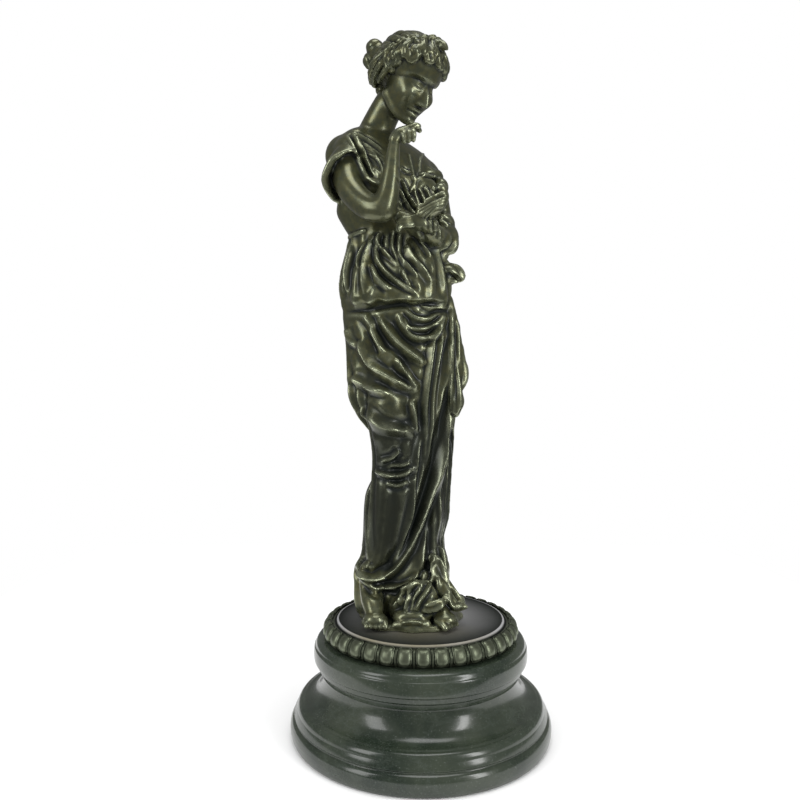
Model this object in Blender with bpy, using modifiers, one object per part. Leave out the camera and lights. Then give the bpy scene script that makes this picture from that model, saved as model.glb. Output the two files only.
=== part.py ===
"""Cast bronze woman with a small bird, on a gadrooned bronze base and a turned marble plinth.

Metres, +Z up. The origin is the middle of the plinth's underside. She is seen from the front
from -Y. The figure is worked out in figure units: her own height, feet to crown, is 382 units.
"""

from math import cos, pi, radians, sin

import bmesh
import bpy
import numpy as np
from mathutils import Matrix, Vector

# Driving sizes
FIGURE_HEIGHT = 0.382  # from the bronze disc to the top of the hair
BASE_RADIUS = 0.0642  # gadrooned bronze base, over its rim
BASE_HEIGHT = 0.0108
RIM_WIDTH = 0.0068  # the flat disc starts this far inside the rim, after a groove
GROOVE_WIDTH = 0.0022
GROOVE_DEPTH = 0.0014
GADROONS = 36
GADROON_GAP = 0.0012  # between neighbouring gadroons, along the rim
GADROON_RISE = 0.0036  # half the thickness of each egg
GAP = 0.0003  # between pieces that touch

PLINTH_RADIUS = 0.0848  # marble plinth at its widest, near the floor
LEDGE = 0.0060  # the upper roll stands this far outside the bronze base
NECK_DEPTH = 0.0067  # the hollow's deepest place, inside the upper roll
FOOT_HEIGHT = 0.0126
QUIRK_HEIGHT = 0.0010  # the narrow groove over the foot
QUIRK_DEPTH = 0.0018
LOWER_BAND_HEIGHT = 0.0040
OVOLO_HEIGHT = 0.0046
OVOLO_REACH = 0.0036
COVE_HEIGHT = 0.0162
FILLET_HEIGHT = 0.0035
FILLET_STEP = 0.0021
ROLL_HEIGHT = 0.0094
SHOULDER_HEIGHT = 0.0046
TURNED_STEPS = 36

FIGURE_UNITS = 382.0
UNIT = FIGURE_HEIGHT / FIGURE_UNITS
CAST_VOXEL = 1.15  # figure units
FIGURE_TRIANGLES = 5100
FACING = radians(30.0)  # her chest is turned this far to the right of the front
HEAD_PLACE = (-7.8, -15.0, 349.0)
HEAD_TURN = radians(48.0)
HEAD_BOW = radians(35.0)
LOOP_TILT = radians(24.0)  # the loop of cloth at her waist
SLEEVE_WALL = 1.9
FEATHER_RADIUS = 1.35
TAIL_FEATHERS = 3
HAIR_CAP = (0.0, -1.6, 8.0)  # left, forward and up from the head's middle
HAIR_CAP_RADII = (20.0, 21.4, 16.4)
FRONT_LOCKS = 15
LOCK_RADIUS = 2.35
HAIRLINE_TURNS = (0, 30, 55, 75, 90, 120, 180)  # degrees from the front
HAIRLINE_HEIGHTS = (12.5, 11.5, 7.0, 0.5, -5.0, -13.0, -16.0)

ROLL_RADIUS = BASE_RADIUS + LEDGE
NECK_RADIUS = ROLL_RADIUS - NECK_DEPTH


def clear_scene():
    for old in list(bpy.data.objects):
        bpy.data.objects.remove(old, do_unlink=True)


def new_collection(name):
    group = bpy.data.collections.new(name)
    bpy.context.scene.collection.children.link(group)
    return group


def material(name, colour, roughness, metallic):
    mat = bpy.data.materials.new(name)
    mat.use_nodes = True
    shader = mat.node_tree.nodes["Principled BSDF"]
    shader.inputs["Base Color"].default_value = (*colour, 1.0)
    shader.inputs["Roughness"].default_value = roughness
    shader.inputs["Metallic"].default_value = metallic
    return mat


def new_object(name, mesh, group, mat=None):
    thing = bpy.data.objects.new(name, mesh)
    if mat:
        mesh.materials.clear()
        mesh.materials.append(mat)
    group.objects.link(thing)
    return thing


def evaluated_mesh(thing):
    bpy.context.view_layer.update()
    graph = bpy.context.evaluated_depsgraph_get()
    return bpy.data.meshes.new_from_object(thing.evaluated_get(graph))


def quarter_round(start, end, steps, hollow=False):
    """Points of an elliptical quarter from start to end, without start itself."""
    (r0, z0), (r1, z1) = start, end
    points = []
    for i in range(1, steps + 1):
        turn = pi / 2 * i / steps
        across, along = (1 - cos(turn), sin(turn)) if hollow else (sin(turn), 1 - cos(turn))
        points.append((r0 + (r1 - r0) * across, z0 + (z1 - z0) * along))
    return points


def turned(name, profile, group, mat, steps):
    """A solid turned about Z from a profile of (radius, height) that runs down its outer side."""
    mesh = bpy.data.meshes.new(name)
    points = [(0.0, profile[0][1]), *profile, (0.0, profile[-1][1])]
    edges = [(i, i + 1) for i in range(len(points) - 1)]
    mesh.from_pydata([(r, 0.0, z) for r, z in points], edges, [])
    thing = new_object(name, mesh, group, mat)
    screw = thing.modifiers.new("turn", "SCREW")
    screw.axis = "Z"
    screw.steps = steps
    screw.render_steps = steps
    screw.use_merge_vertices = True
    screw.merge_threshold = 1e-6
    return thing


def plinth_profile():
    """The marble's outline from its flat top down to the floor, and the height of that top."""
    level = 0.0
    foot = [
        (PLINTH_RADIUS * 0.965, 0.0),
        (PLINTH_RADIUS * 0.994, FOOT_HEIGHT * 0.2),
        (PLINTH_RADIUS, FOOT_HEIGHT * 0.55),
        (PLINTH_RADIUS * 0.979, FOOT_HEIGHT * 0.95),
    ]
    level += FOOT_HEIGHT
    band = PLINTH_RADIUS * 0.979
    quirk = [(band - QUIRK_DEPTH * 0.7, level), (band - QUIRK_DEPTH * 0.7, level + QUIRK_HEIGHT)]
    level += QUIRK_HEIGHT
    lower = [(band - QUIRK_DEPTH * 0.3, level + 0.0006)]
    level += LOWER_BAND_HEIGHT
    ovolo_start = (band - QUIRK_DEPTH * 1.5, level)
    lower.append(ovolo_start)
    ovolo_end = (ovolo_start[0] - OVOLO_REACH, level + OVOLO_HEIGHT)
    ovolo = quarter_round(ovolo_start, ovolo_end, 3, hollow=True)
    level += OVOLO_HEIGHT + 0.0007
    cove_start = (ovolo_end[0] - 0.0012, level)
    cove = [cove_start]
    cove += quarter_round(cove_start, (NECK_RADIUS, level + COVE_HEIGHT), 5)
    level += COVE_HEIGHT
    steps = []
    for i in range(2):
        radius = NECK_RADIUS + FILLET_STEP * (i + 1)
        steps += [(radius, level + 0.0007), (radius, level + FILLET_HEIGHT)]
        level += FILLET_HEIGHT + 0.0006
    roll_foot = NECK_RADIUS + FILLET_STEP * 2.6
    roll = [
        (roll_foot, level),
        (ROLL_RADIUS, level + ROLL_HEIGHT * 0.35),
        (ROLL_RADIUS, level + ROLL_HEIGHT * 0.7),
        (ROLL_RADIUS - 0.0008, level + ROLL_HEIGHT),
    ]
    level += ROLL_HEIGHT
    shoulder_start = (ROLL_RADIUS - 0.0013, level + SHOULDER_HEIGHT * 0.2)
    shoulder_end = (ROLL_RADIUS - 0.0057, level + SHOULDER_HEIGHT)
    shoulder = [shoulder_start, *quarter_round(shoulder_start, shoulder_end, 3, hollow=True)]
    level += SHOULDER_HEIGHT
    upwards = foot + quirk + lower + ovolo + cove + steps + roll + shoulder
    return upwards[::-1], level


def gadrooned_base(group, cutters, mat, seat):
    """A turned bronze base, its rim set with a ring of egg-shaped gadroons. Returns its top."""
    top = seat + BASE_HEIGHT
    disc = BASE_RADIUS - RIM_WIDTH - GROOVE_WIDTH
    bed = BASE_RADIUS - GADROON_RISE * 0.4
    rim = (disc + GROOVE_WIDTH, top - GADROON_RISE * 0.42)
    profile = [
        (disc, top),
        (disc + GROOVE_WIDTH * 0.4, top - GROOVE_DEPTH),
        rim,
        *quarter_round(rim, (bed, seat + BASE_HEIGHT * 0.36), 3),
        (BASE_RADIUS - 0.0018, seat),
    ]
    body = turned("gadrooned_base", profile, group, mat, GADROONS)
    pitch = 2 * pi * (BASE_RADIUS - 0.003) / GADROONS
    eggs = bmesh.new()
    slope = Matrix.Rotation(radians(44.0), 4, "Y")
    size = Matrix.Diagonal((RIM_WIDTH * 0.88, (pitch - GADROON_GAP) / 2, GADROON_RISE, 1.0))
    place = Matrix.Translation((BASE_RADIUS - RIM_WIDTH * 0.70, 0.0, seat + BASE_HEIGHT * 0.58))
    for i in range(GADROONS):
        turn = Matrix.Rotation(2 * pi * (i + 0.5) / GADROONS, 4, "Z")
        bmesh.ops.create_uvsphere(
            eggs, u_segments=6, v_segments=4, radius=1.0, matrix=turn @ place @ slope @ size
        )
    mesh = bpy.data.meshes.new("gadroons")
    eggs.to_mesh(mesh)
    eggs.free()
    ring = new_object("gadroons", mesh, cutters)
    ring.hide_render = True
    ring.display_type = "WIRE"
    join = body.modifiers.new("gadroons", "BOOLEAN")
    join.operation = "UNION"
    join.solver = "EXACT"
    join.object = ring
    return top


def turned_to(point, angle):
    """A (to her left, forward, up) point of the chest, turned to the way she faces."""
    left, forward, up = point
    x = left * cos(angle) + forward * sin(angle)
    y = left * sin(angle) - forward * cos(angle)
    return np.array((x, y, up))


def head_point(left, forward, up):
    """A point of the head, from its middle, in the tilt that the head has."""
    level = forward * cos(HEAD_BOW) + up * sin(HEAD_BOW)
    height = up * cos(HEAD_BOW) - forward * sin(HEAD_BOW)
    return np.array(HEAD_PLACE) + turned_to((left, level, height), HEAD_TURN)


def smooth_path(points, per_span=6):
    """A Catmull-Rom curve through rows of numbers."""
    rows = np.asarray(points, float)
    padded = np.vstack([2 * rows[0] - rows[1], rows, 2 * rows[-1] - rows[-2]])
    found = []
    for i in range(len(rows) - 1):
        a, b, c, d = padded[i : i + 4]
        for t in np.arange(per_span) / per_span:
            bend = (2 * a - 5 * b + 4 * c - d) * t * t + (3 * b - a - 3 * c + d) * t**3
            found.append(0.5 * (2 * b + (c - a) * t + bend))
    found.append(rows[-1])
    return np.array(found)


class Clay:
    """Closed shapes gathered in one mesh, in figure units, to be fused as a casting is."""

    def __init__(self):
        self.points = []
        self.faces = []
        self.count = 0

    def add(self, points, faces):
        self.points.append(np.asarray(points, float))
        self.faces += [[i + self.count for i in face] for face in faces]
        self.count += len(points)

    def rings(self, rings):
        """A closed loft through rings of as many points, each a row of an array."""
        rings = np.asarray(rings, float)
        rows, sides = rings.shape[:2]
        faces = []
        for i in range(rows - 1):
            for j in range(sides):
                k = (j + 1) % sides
                faces.append([i * sides + j, i * sides + k, (i + 1) * sides + k, (i + 1) * sides + j])
        points = rings.reshape(-1, 3)
        low, high = len(points), len(points) + 1
        points = np.vstack([points, rings[0].mean(0), rings[-1].mean(0)])
        last = (rows - 1) * sides
        for j in range(sides):
            k = (j + 1) % sides
            faces.append([low, k, j])
            faces.append([high, last + j, last + k])
        self.add(points, faces)

    def limb(self, knots, sides=20, flat=1.0, across=(0.0, 1.0, 0.0)):
        """A tube through (x, y, z, radius) knots with round ends. flat thins it along across."""
        path = smooth_path(knots)
        places, radii = path[:, :3], path[:, 3]
        along = np.gradient(places, axis=0)
        along /= np.linalg.norm(along, axis=1)[:, None]
        start, end = places[0], places[-1]
        dome = (0.98, 0.87, 0.5)
        places = np.vstack(
            [
                [start - along[0] * radii[0] * d for d in dome],
                places,
                [end + along[-1] * radii[-1] * d for d in dome[::-1]],
            ]
        )
        shrink = [(1 - d * d) ** 0.5 for d in dome]
        radii = np.concatenate([radii[0] * np.array(shrink), radii, radii[-1] * np.array(shrink[::-1])])
        along = np.vstack([[along[0]] * 3, along, [along[-1]] * 3])
        rings = []
        for place, radius, axis in zip(places, radii, along):
            thin = np.asarray(across, float)
            thin = thin - axis * thin.dot(axis)
            thin /= np.linalg.norm(thin)
            wide = np.cross(thin, axis)
            turns = np.arange(sides) * 2 * pi / sides
            ring = np.outer(np.cos(turns), wide) + np.outer(np.sin(turns) * flat, thin)
            rings.append(place + ring * radius)
        self.rings(rings)

    def egg(self, place, radii, axes=None, segments=24):
        """An ellipsoid; axes holds the three directions of its radii as rows."""
        axes = np.eye(3) if axes is None else np.asarray(axes, float)
        rings = []
        for i in range(1, segments // 2):
            tilt = -pi / 2 + pi * i / (segments // 2)
            turns = np.arange(segments) * 2 * pi / segments
            ring = np.stack([np.cos(turns) * cos(tilt), np.sin(turns) * cos(tilt)], 1)
            ring = np.column_stack([ring, np.full(segments, sin(tilt))])
            rings.append(np.asarray(place) + (ring * radii) @ axes)
        self.rings(rings)

    def fused(self, name, group, voxel):
        mesh = bpy.data.meshes.new(name)
        mesh.from_pydata(np.vstack(self.points).tolist(), [], self.faces)
        thing = new_object(name, mesh, group)
        remesh = thing.modifiers.new("cast", "REMESH")
        remesh.mode = "VOXEL"
        remesh.voxel_size = voxel
        remesh.adaptivity = 0.0
        cast = evaluated_mesh(thing)
        bpy.data.objects.remove(thing)
        return cast


def girth(sections, sides, rows, shape):
    """Rings through (z, x, y, half width, half depth, turn) sections; shape bends each ring."""
    path = smooth_path(sections, rows)
    turns = np.arange(sides) * 2 * pi / sides
    rings = []
    for z, x, y, wide, deep, turn in path:
        swell, lift = shape(turns, z)
        a = np.cos(turns) * (wide + swell)
        b = np.sin(turns) * (deep + swell)
        c, s = cos(radians(turn)), sin(radians(turn))
        rings.append(np.column_stack([x + a * c - b * s, y + a * s + b * c, np.full(sides, z) + lift]))
    return rings


def apart(turns, middle):
    """How far each turn is from a middle, in radians either way."""
    return (turns - radians(middle) + pi) % (2 * pi) - pi


def plain(turns, z):
    return 0.0, 0.0


def skirt_folds(turns, z):
    """Upright folds round the back and her left side, dying out where the mantle is drawn up."""
    swell = np.zeros_like(turns)
    for i in range(9):
        middle = -20 + i * 26 + 7 * sin(i * 2.3)
        wander = 6 * sin(z / 47 + i * 1.9)
        height = 2.8 + 1.1 * sin(i * 1.7)
        fade = min(1.0, max(0.35, (200 - z) / 80))
        swell += height * fade * np.exp(-(apart(turns, middle + wander) / 0.12) ** 2) - 0.5 * fade
    return swell, 0.0


def blouse_folds(turns, z):
    """The bloused overfold: folds fanning from the girdle, and a scalloped hem."""
    drop = min(1.0, max(0.0, (254 - z) / 44))
    swell = np.zeros_like(turns)
    for i in range(15):
        middle = i * 24 + 5 * sin(i * 2.9)
        bend = 9 * drop * sin(i * 1.3)
        swell += (0.8 + 1.3 * drop) * np.exp(-(apart(turns, middle + bend) / 0.10) ** 2)
    hem = max(0.0, 1 - (z - 203) / 9)
    return swell, hem * (0.9 * np.cos(13 * turns + 1.6 * np.sin(3 * turns)) + 0.6 * np.cos(7 * turns))


SKIRT = (
    (1.5, -13.0, 1.0, 30.5, 20.5, 0.0),
    (12.0, -12.7, 2.0, 33.0, 21.5, 0.0),
    (22.0, -12.4, 2.0, 33.4, 22.0, 0.0),
    (30.0, -12.9, 2.0, 33.2, 22.0, 0.0),
    (38.0, -11.2, 2.0, 30.4, 21.5, 0.0),
    (50.0, -11.4, 2.0, 28.7, 20.8, 0.0),
    (64.0, -9.8, 2.0, 30.0, 20.5, 0.0),
    (79.0, -8.7, 2.0, 30.0, 20.3, 0.0),
    (91.0, -5.8, 2.0, 28.0, 20.0, 0.0),
    (104.0, -4.2, 2.0, 27.2, 20.5, 0.0),
    (117.0, -4.0, 2.0, 27.0, 21.0, 0.0),
    (127.0, -7.7, 1.0, 30.5, 22.5, 0.0),
    (143.0, -12.0, 0.0, 34.9, 25.0, 0.0),
    (165.0, -12.4, 0.0, 36.4, 27.0, 0.0),
    (184.0, -14.2, 0.0, 36.2, 27.0, 0.0),
    (200.0, -16.0, 0.5, 35.8, 25.5, 0.0),
    (212.0, -16.0, 1.0, 33.5, 24.0, 0.0),
)
BLOUSE = (
    (203.5, -15.3, 0.0, 32.6, 26.0, 4.0),
    (205.5, -15.3, -0.8, 34.0, 28.6, 4.0),
    (212.0, -15.3, -1.2, 34.2, 29.0, 6.0),
    (225.0, -16.0, -0.7, 33.8, 27.4, 8.0),
    (240.0, -15.8, 0.5, 31.2, 22.8, 10.0),
    (250.0, -17.5, 1.5, 28.8, 19.5, 12.0),
    (257.0, -18.8, 2.0, 28.4, 18.5, 14.0),
)
TRUNK = (
    (250.0, -19.0, 2.0, 28.0, 18.0, 14.0),
    (258.0, -21.0, 2.0, 31.5, 18.8, 17.0),
    (266.0, -22.6, 2.0, 33.8, 19.5, 20.0),
    (280.0, -21.5, 2.0, 32.5, 21.0, 28.0),
    (292.0, -20.5, 2.5, 33.5, 19.5, 30.0),
    (302.0, -21.0, 3.0, 34.0, 16.5, 30.0),
    (310.0, -24.0, 3.0, 29.5, 13.5, 30.0),
    (317.0, -28.5, 3.0, 19.0, 11.5, 30.0),
    (322.0, -31.0, 2.5, 12.0, 9.5, 30.0),
)


def model_drapery(clay):
    clay.rings(girth(SKIRT, 120, 8, skirt_folds))
    clay.rings(girth(BLOUSE, 120, 5, blouse_folds))
    clay.rings(girth(TRUNK, 72, 4, plain))
    for left, forward, up in ((-13.0, 13.5, 281.0), (13.0, 13.0, 281.0)):
        place = np.array((-20.0, 2.5, 0.0)) + turned_to((left, forward, up), FACING)
        clay.egg(place, (11.0, 10.0, 12.0))
    # the bent right leg under the cloth
    leg = [(-20, -10, 170, 17), (-20.5, -13.5, 138, 14.2), (-20.5, -11, 106, 9.5), (-24, -9, 60, 9),
           (-28, -8, 34, 8.5)]
    clay.limb(leg)
    # the mantle's end, hanging in two tongues at her left side
    tongue = [(18, -4, 208, 4), (20.6, -6, 190, 5.4), (22.8, -6, 172, 6.2), (24.8, -6, 160, 6.2),
              (23.4, -6, 148, 2.4)]
    clay.limb(tongue, flat=0.62)
    tongue = [(18, -9, 180, 4), (22, -9, 156, 4.8), (24.8, -8.6, 142, 4.6), (23.6, -8.6, 134.5, 3.2)]
    clay.limb(tongue, flat=0.7)
    # cloth pooled between the feet, and its tip at her left
    clay.egg((-5.0, -13.0, 10.0), (17.0, 14.0, 15.0))
    clay.limb([(9.5, -6, 42, 5), (14.5, -9, 27, 5.4), (20.5, -13, 16, 4.6), (27, -16, 12.5, 2.4)], flat=0.7)


def model_arms(clay):
    # shoulders
    clay.limb([(-33, 2, 315, 9.5), (-41.5, -6, 310, 10), (-47, -12, 302, 10.4)])
    clay.limb([(-27, 6, 313, 9), (-9, 13, 304.6, 10), (3.2, 17, 296.4, 11)])
    # right arm, bent so that the hand comes up to the chin
    clay.limb(
        [(-46.5, -8, 302, 10), (-47.6, -15, 289, 9.2), (-45.4, -22.5, 277, 8.8), (-38.6, -29.5, 266.5, 8.4),
         (-31, -35, 260, 8.3), (-24, -38, 258.2, 8.2)]
    )
    clay.limb(
        [(-23, -38, 260, 8.3), (-20.7, -38.5, 267, 7.1), (-18.8, -39, 279, 5.6), (-17.6, -38.5, 291, 4.4),
         (-16.4, -37.5, 301, 3.5)]
    )
    # left arm across the waist
    clay.limb([(4.2, 18, 295.6, 11), (8.2, 14, 280, 11.4), (11.4, 8, 263, 10.4), (14.6, 3, 252, 9)])
    clay.egg((16.0, 1.0, 247.0), (8.8, 9.0, 10.2))
    clay.limb([(15.5, 1, 247, 8.8), (6, -16, 249, 7.6), (-6, -28, 252, 6), (-13, -32, 255, 4.6)])


def sleeve_cup(clay, rings, wall, sides=48):
    """A hollow sleeve along rings of centre, normal and radius, open at its last ring."""
    frames = []
    for place, normal, radius in rings:
        axis = Vector(normal).normalized()
        wide = Vector((axis.y, -axis.x, 0)).normalized()
        frames.append((Vector(place), wide, axis.cross(wide), radius))
    loops = []
    for inward, order in ((0.0, frames), (1.0, frames[::-1])):
        for place, wide, high, radius in order:
            loop = []
            for turn in np.arange(sides) * 2 * pi / sides:
                out = radius * (1 + 0.03 * sin(3 * turn + 1) + 0.02 * sin(7 * turn))
                out -= inward * wall * (1 + 1.5 * max(0.0, cos(turn)))
                loop.append(tuple(place + wide * cos(turn) * out + high * sin(turn) * out * 1.06))
            loops.append(loop)
    clay.rings(loops)


def model_sleeves(clay):
    # the right sleeve stands open round the arm
    clay.egg((-47.0, -6.0, 299.5), (12.4, 11.0, 12.0))
    sleeve = (
        ((-40.5, -3.0, 306.0), (0.45, -0.45, -0.75), 11.5),
        ((-43.8, -8.0, 299.0), (0.42, -0.60, -0.65), 14.4),
        ((-46.0, -13.0, 291.0), (0.40, -0.74, -0.52), 15.8),
        ((-47.2, -20.0, 282.5), (0.38, -0.81, -0.42), 16.2),
    )
    sleeve_cup(clay, sleeve, SLEEVE_WALL)
    # the left sleeve, gathered in puffs down the arm
    puffs = (
        ((4.4, 5.0, 293.5), (7.4, 6.5, 5.8)),
        ((11.0, 9.0, 292.4), (5.2, 6.0, 6.2)),
        ((14.0, 5.0, 285.0), (5.4, 6.0, 6.4)),
        ((13.0, 1.0, 274.0), (6.0, 6.4, 6.4)),
        ((15.4, 4.0, 269.0), (5.2, 6.0, 6.0)),
        ((3.0, -3.0, 283.0), (8.0, 6.0, 6.0)),
        ((4.5, -7.0, 273.5), (8.0, 6.0, 6.5)),
    )
    for place, radii in puffs:
        clay.egg(place, radii)
    # a loop of cloth at the waist
    tilt = np.array(Matrix.Rotation(LOOP_TILT, 3, "Y").transposed())
    clay.egg((19.4, -4.0, 225.2), (8.2, 6.0, 5.5), tilt)


def model_hands(clay):
    # right hand under the chin, its fingers curled
    palm = ((-16.5, -37.5, 300.5, 3.9), (-14, -37, 303.6, 4), (-10, -37, 305.8, 3.6), (-6.2, -36.4, 307.6, 3))
    fingers = (
        ((-7.0, -37.8, 307.4, 2.3), (-4.2, -37.8, 308.8, 2.2), (-2.2, -37.4, 308.8, 1.8)),
        ((-6.5, -34.8, 308.0, 2.3), (-3.4, -34.6, 308.8, 2.1), (-1.4, -34.4, 307.4, 1.6)),
        ((-7.4, -38, 305.6, 2.3), (-5.8, -39, 303.2, 2), (-5.8, -39, 300.4, 1.8), (-7.4, -39, 298.2, 1.6)),
        ((-10, -38.6, 303.6, 2.3), (-12, -39, 300.8, 2), (-11.6, -39, 298.4, 1.8), (-8.8, -39, 297.4, 1.6)),
    )
    for knots in (palm, *fingers):
        clay.limb(knots)
    clay.egg((-10.0, -37.0, 304.0), (4.6, 3.4, 3.6))
    # left hand under the bird
    for i in range(3):
        drop = 2.0 * i
        finger = ((-6, -34, 253.5, 1.7), (-11, -35.6, 253.2, 1.5), (-14.5, -34.8, 251.6, 1.3))
        clay.limb([(x, y, z - drop, radius) for x, y, z, radius in finger])
    clay.limb([(-12, -31, 255, 4.2), (-2, -31, 252, 4.6), (6, -29, 250.5, 5)])


def model_bird(clay):
    body = [(-4, -31.5, 256, 2.4), (4, -32.5, 259.5, 4.8), (9.8, -31.5, 263.4, 5.6), (11.4, -32, 267.5, 4.4)]
    clay.limb(body)
    clay.egg((10.4, -33.0, 271.8), (4.3, 4.3, 4.1))
    clay.limb([(7.6, -36.2, 271.4, 1.5), (5.2, -39, 270.4, 0.5)], sides=12)
    # the wing's feathers, each from the shoulder to the wing's edge
    starts = ((11.4, 265.8), (13.9, 264.0), (14.3, 261.4), (13.1, 258.3), (11.2, 256.0))
    middles = ((4.8, 262.2), (7.2, 260.2), (8.4, 257.7), (9.0, 255.2), (8.4, 253.5))
    ends = ((-3.2, 256.6), (-2.6, 254.6), (-0.8, 253.2), (2.4, 252.4), (5.2, 252.0))
    for i, feather in enumerate(zip(starts, middles, ends)):
        knots = []
        for j, (x, z) in enumerate(feather):
            depth = -36.2 - 0.5 * i + 1.2 * abs(j - 1)
            knots.append((x, depth, z, FEATHER_RADIUS if j < 2 else FEATHER_RADIUS * 0.5))
        clay.limb(knots, sides=12)
    for i in range(TAIL_FEATHERS):
        drop = 1.1 * i
        root, middle = (-1, -34.5, 256 - drop, 1.2), (-6, -34.8, 254.6 - drop, 1.2)
        clay.limb([root, middle, (-11.5, -34.4, 254.2 - 1.3 * drop, 0.8)], sides=12, flat=0.8)


def model_feet(clay):
    """Bare feet on a low rocky pad, and the hem pooled between them."""
    sides = 48
    turns = np.arange(sides) * 2 * pi / sides
    edge = 1 + 0.05 * np.sin(5 * turns + 1) + 0.03 * np.sin(11 * turns)
    rings = []
    for height, scale in ((0.0, 1.0), (1.8, 1.0), (3.0, 0.965), (3.6, 0.90)):
        x = -7 + 33 * scale * edge * np.cos(turns)
        y = -6 + 27.5 * scale * edge * np.sin(turns)
        rings.append(np.column_stack([x, y, np.full(sides, height)]))
    clay.rings(rings)
    right = {"ankle": (-32, -13, 20), "ball": (-29.2, -25, 7.6), "ahead": (0.12, -0.99), "spread": 2.9}
    left = {"ankle": (6, -13, 15), "ball": (14, -24.5, 7.2), "ahead": (0.60, -0.80), "spread": 2.7}
    for foot in (right, left):
        ankle, ball = np.array(foot["ankle"]), np.array(foot["ball"])
        heel = ankle + (ankle - ball) * (0.3, 0.3, -0.75)
        clay.limb([(*(ankle + (0, 2, 12)), 8.0), (*ankle, 7.2), (*((ankle + ball) / 2), 7.0), (*ball, 5.4)])
        clay.limb([(*heel, 5.5), (*((heel + ball) / 2), 5.6), (*ball, 4.8)])
        ahead = np.array((*foot["ahead"], 0.0))
        beside = np.array((-ahead[1], ahead[0], 0.0))
        inner = 1 if foot is right else -1
        for i in range(5):
            # the great toe lies on the inner side
            rank = (i - 2) * inner
            start = ball + beside * (i - 2) * foot["spread"] - (0, 0, 1.6)
            reach = 7.0 + 0.4 * rank
            thick = 2.5 if rank == 2 else 1.95 + 0.08 * rank
            middle = start + ahead * reach * 0.62 - (0, 0, 0.9)
            tip = start + ahead * reach - (0, 0, 2.6)
            clay.limb([(*start, thick * 1.1), (*middle, thick), (*tip, thick * 0.92)], sides=14)
    clay.egg((-6.0, -24.0, 6.5), (12.0, 8.0, 7.0))
    clay.egg((-4.0, -19.0, 14.0), (12.0, 9.0, 12.0))
    pooled = (
        ((-17.5, -27.0, 10.5, 2.8), (-12.0, -29.0, 8.0, 3.4), (-6.0, -29.5, 8.6, 3.2)),
        ((-16.0, -28.5, 3.0, 2.6), (-6.0, -30.5, 3.2, 3.4), (3.0, -29.0, 4.0, 3.0)),
        ((-1.5, -27, 14.8, 2.6), (5, -28.5, 15.2, 3.8), (11.5, -27.5, 16.6, 3.4), (15.5, -25.5, 18, 2)),
        ((11, -17, 28, 4), (16, -19.5, 19, 4.2), (21.5, -20.5, 12.5, 3.6), (28, -20, 12, 2)),
    )
    for knots in pooled:
        clay.limb(knots, flat=0.8)


def model_head(clay):
    """Neck, an oval head with plain, even features, and the hair with its knot."""
    axes = np.array([head_point(*row) - head_point(0, 0, 0) for row in np.eye(3)])
    clay.limb([(-33.5, 4, 310, 13), (-29, 2, 322, 11.3), (-21.5, -3, 335, 10.2), (-13, -7, 346, 10)])
    clay.egg(head_point(0, -3, 6), (17.4, 21.8, 20.5), axes, 32)
    clay.egg(head_point(0, 5.5, -6), (14.4, 15.4, 19.0), axes, 32)
    clay.egg(head_point(0, 13.0, -20.5), (6.2, 6.2, 5.6), axes)
    clay.egg(head_point(0, 3.5, -18.5), (7.5, 9.5, 5.5), axes)
    for side in (-1, 1):
        clay.egg(head_point(7.5 * side, 11.5, -7.5), (6.2, 7.2, 7.2), axes)
        clay.egg(head_point(5.6 * side, 18.2, 2.8), (5.0, 3.2, 1.9), axes)
        jaw = ((11.0, -1.0, -14.0), (7.5, 8.0, -20.0), (3.0, 12.5, -22.0))
        clay.limb([(*head_point(left * side, forward, up), 3.6) for left, forward, up in jaw])
    nose = [head_point(0, f, u) for f, u in ((18.6, 1.0), (21.4, -4.0), (23.6, -8.6))]
    clay.limb([(*nose[0], 2.0), (*nose[1], 2.2), (*nose[2], 2.7)])
    clay.egg(head_point(0, 19.6, -14.8), (4.6, 2.6, 1.9), axes)
    model_hair(clay, axes)


def hairline(turn):
    return np.interp(np.abs(turn), HAIRLINE_TURNS, HAIRLINE_HEIGHTS)


def on_cap(turn, up, lift):
    """A point on the cap of hair; turn is in degrees from the front towards her left."""
    (x, y, z), (a, b, c) = HAIR_CAP, HAIR_CAP_RADII
    level = max(0.15, 1 - ((up - z) / c) ** 2) ** 0.5
    t = radians(turn)
    return head_point(x + (a * level + lift) * sin(t), y + (b * level + lift) * cos(t), up + lift * 0.3)


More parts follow.
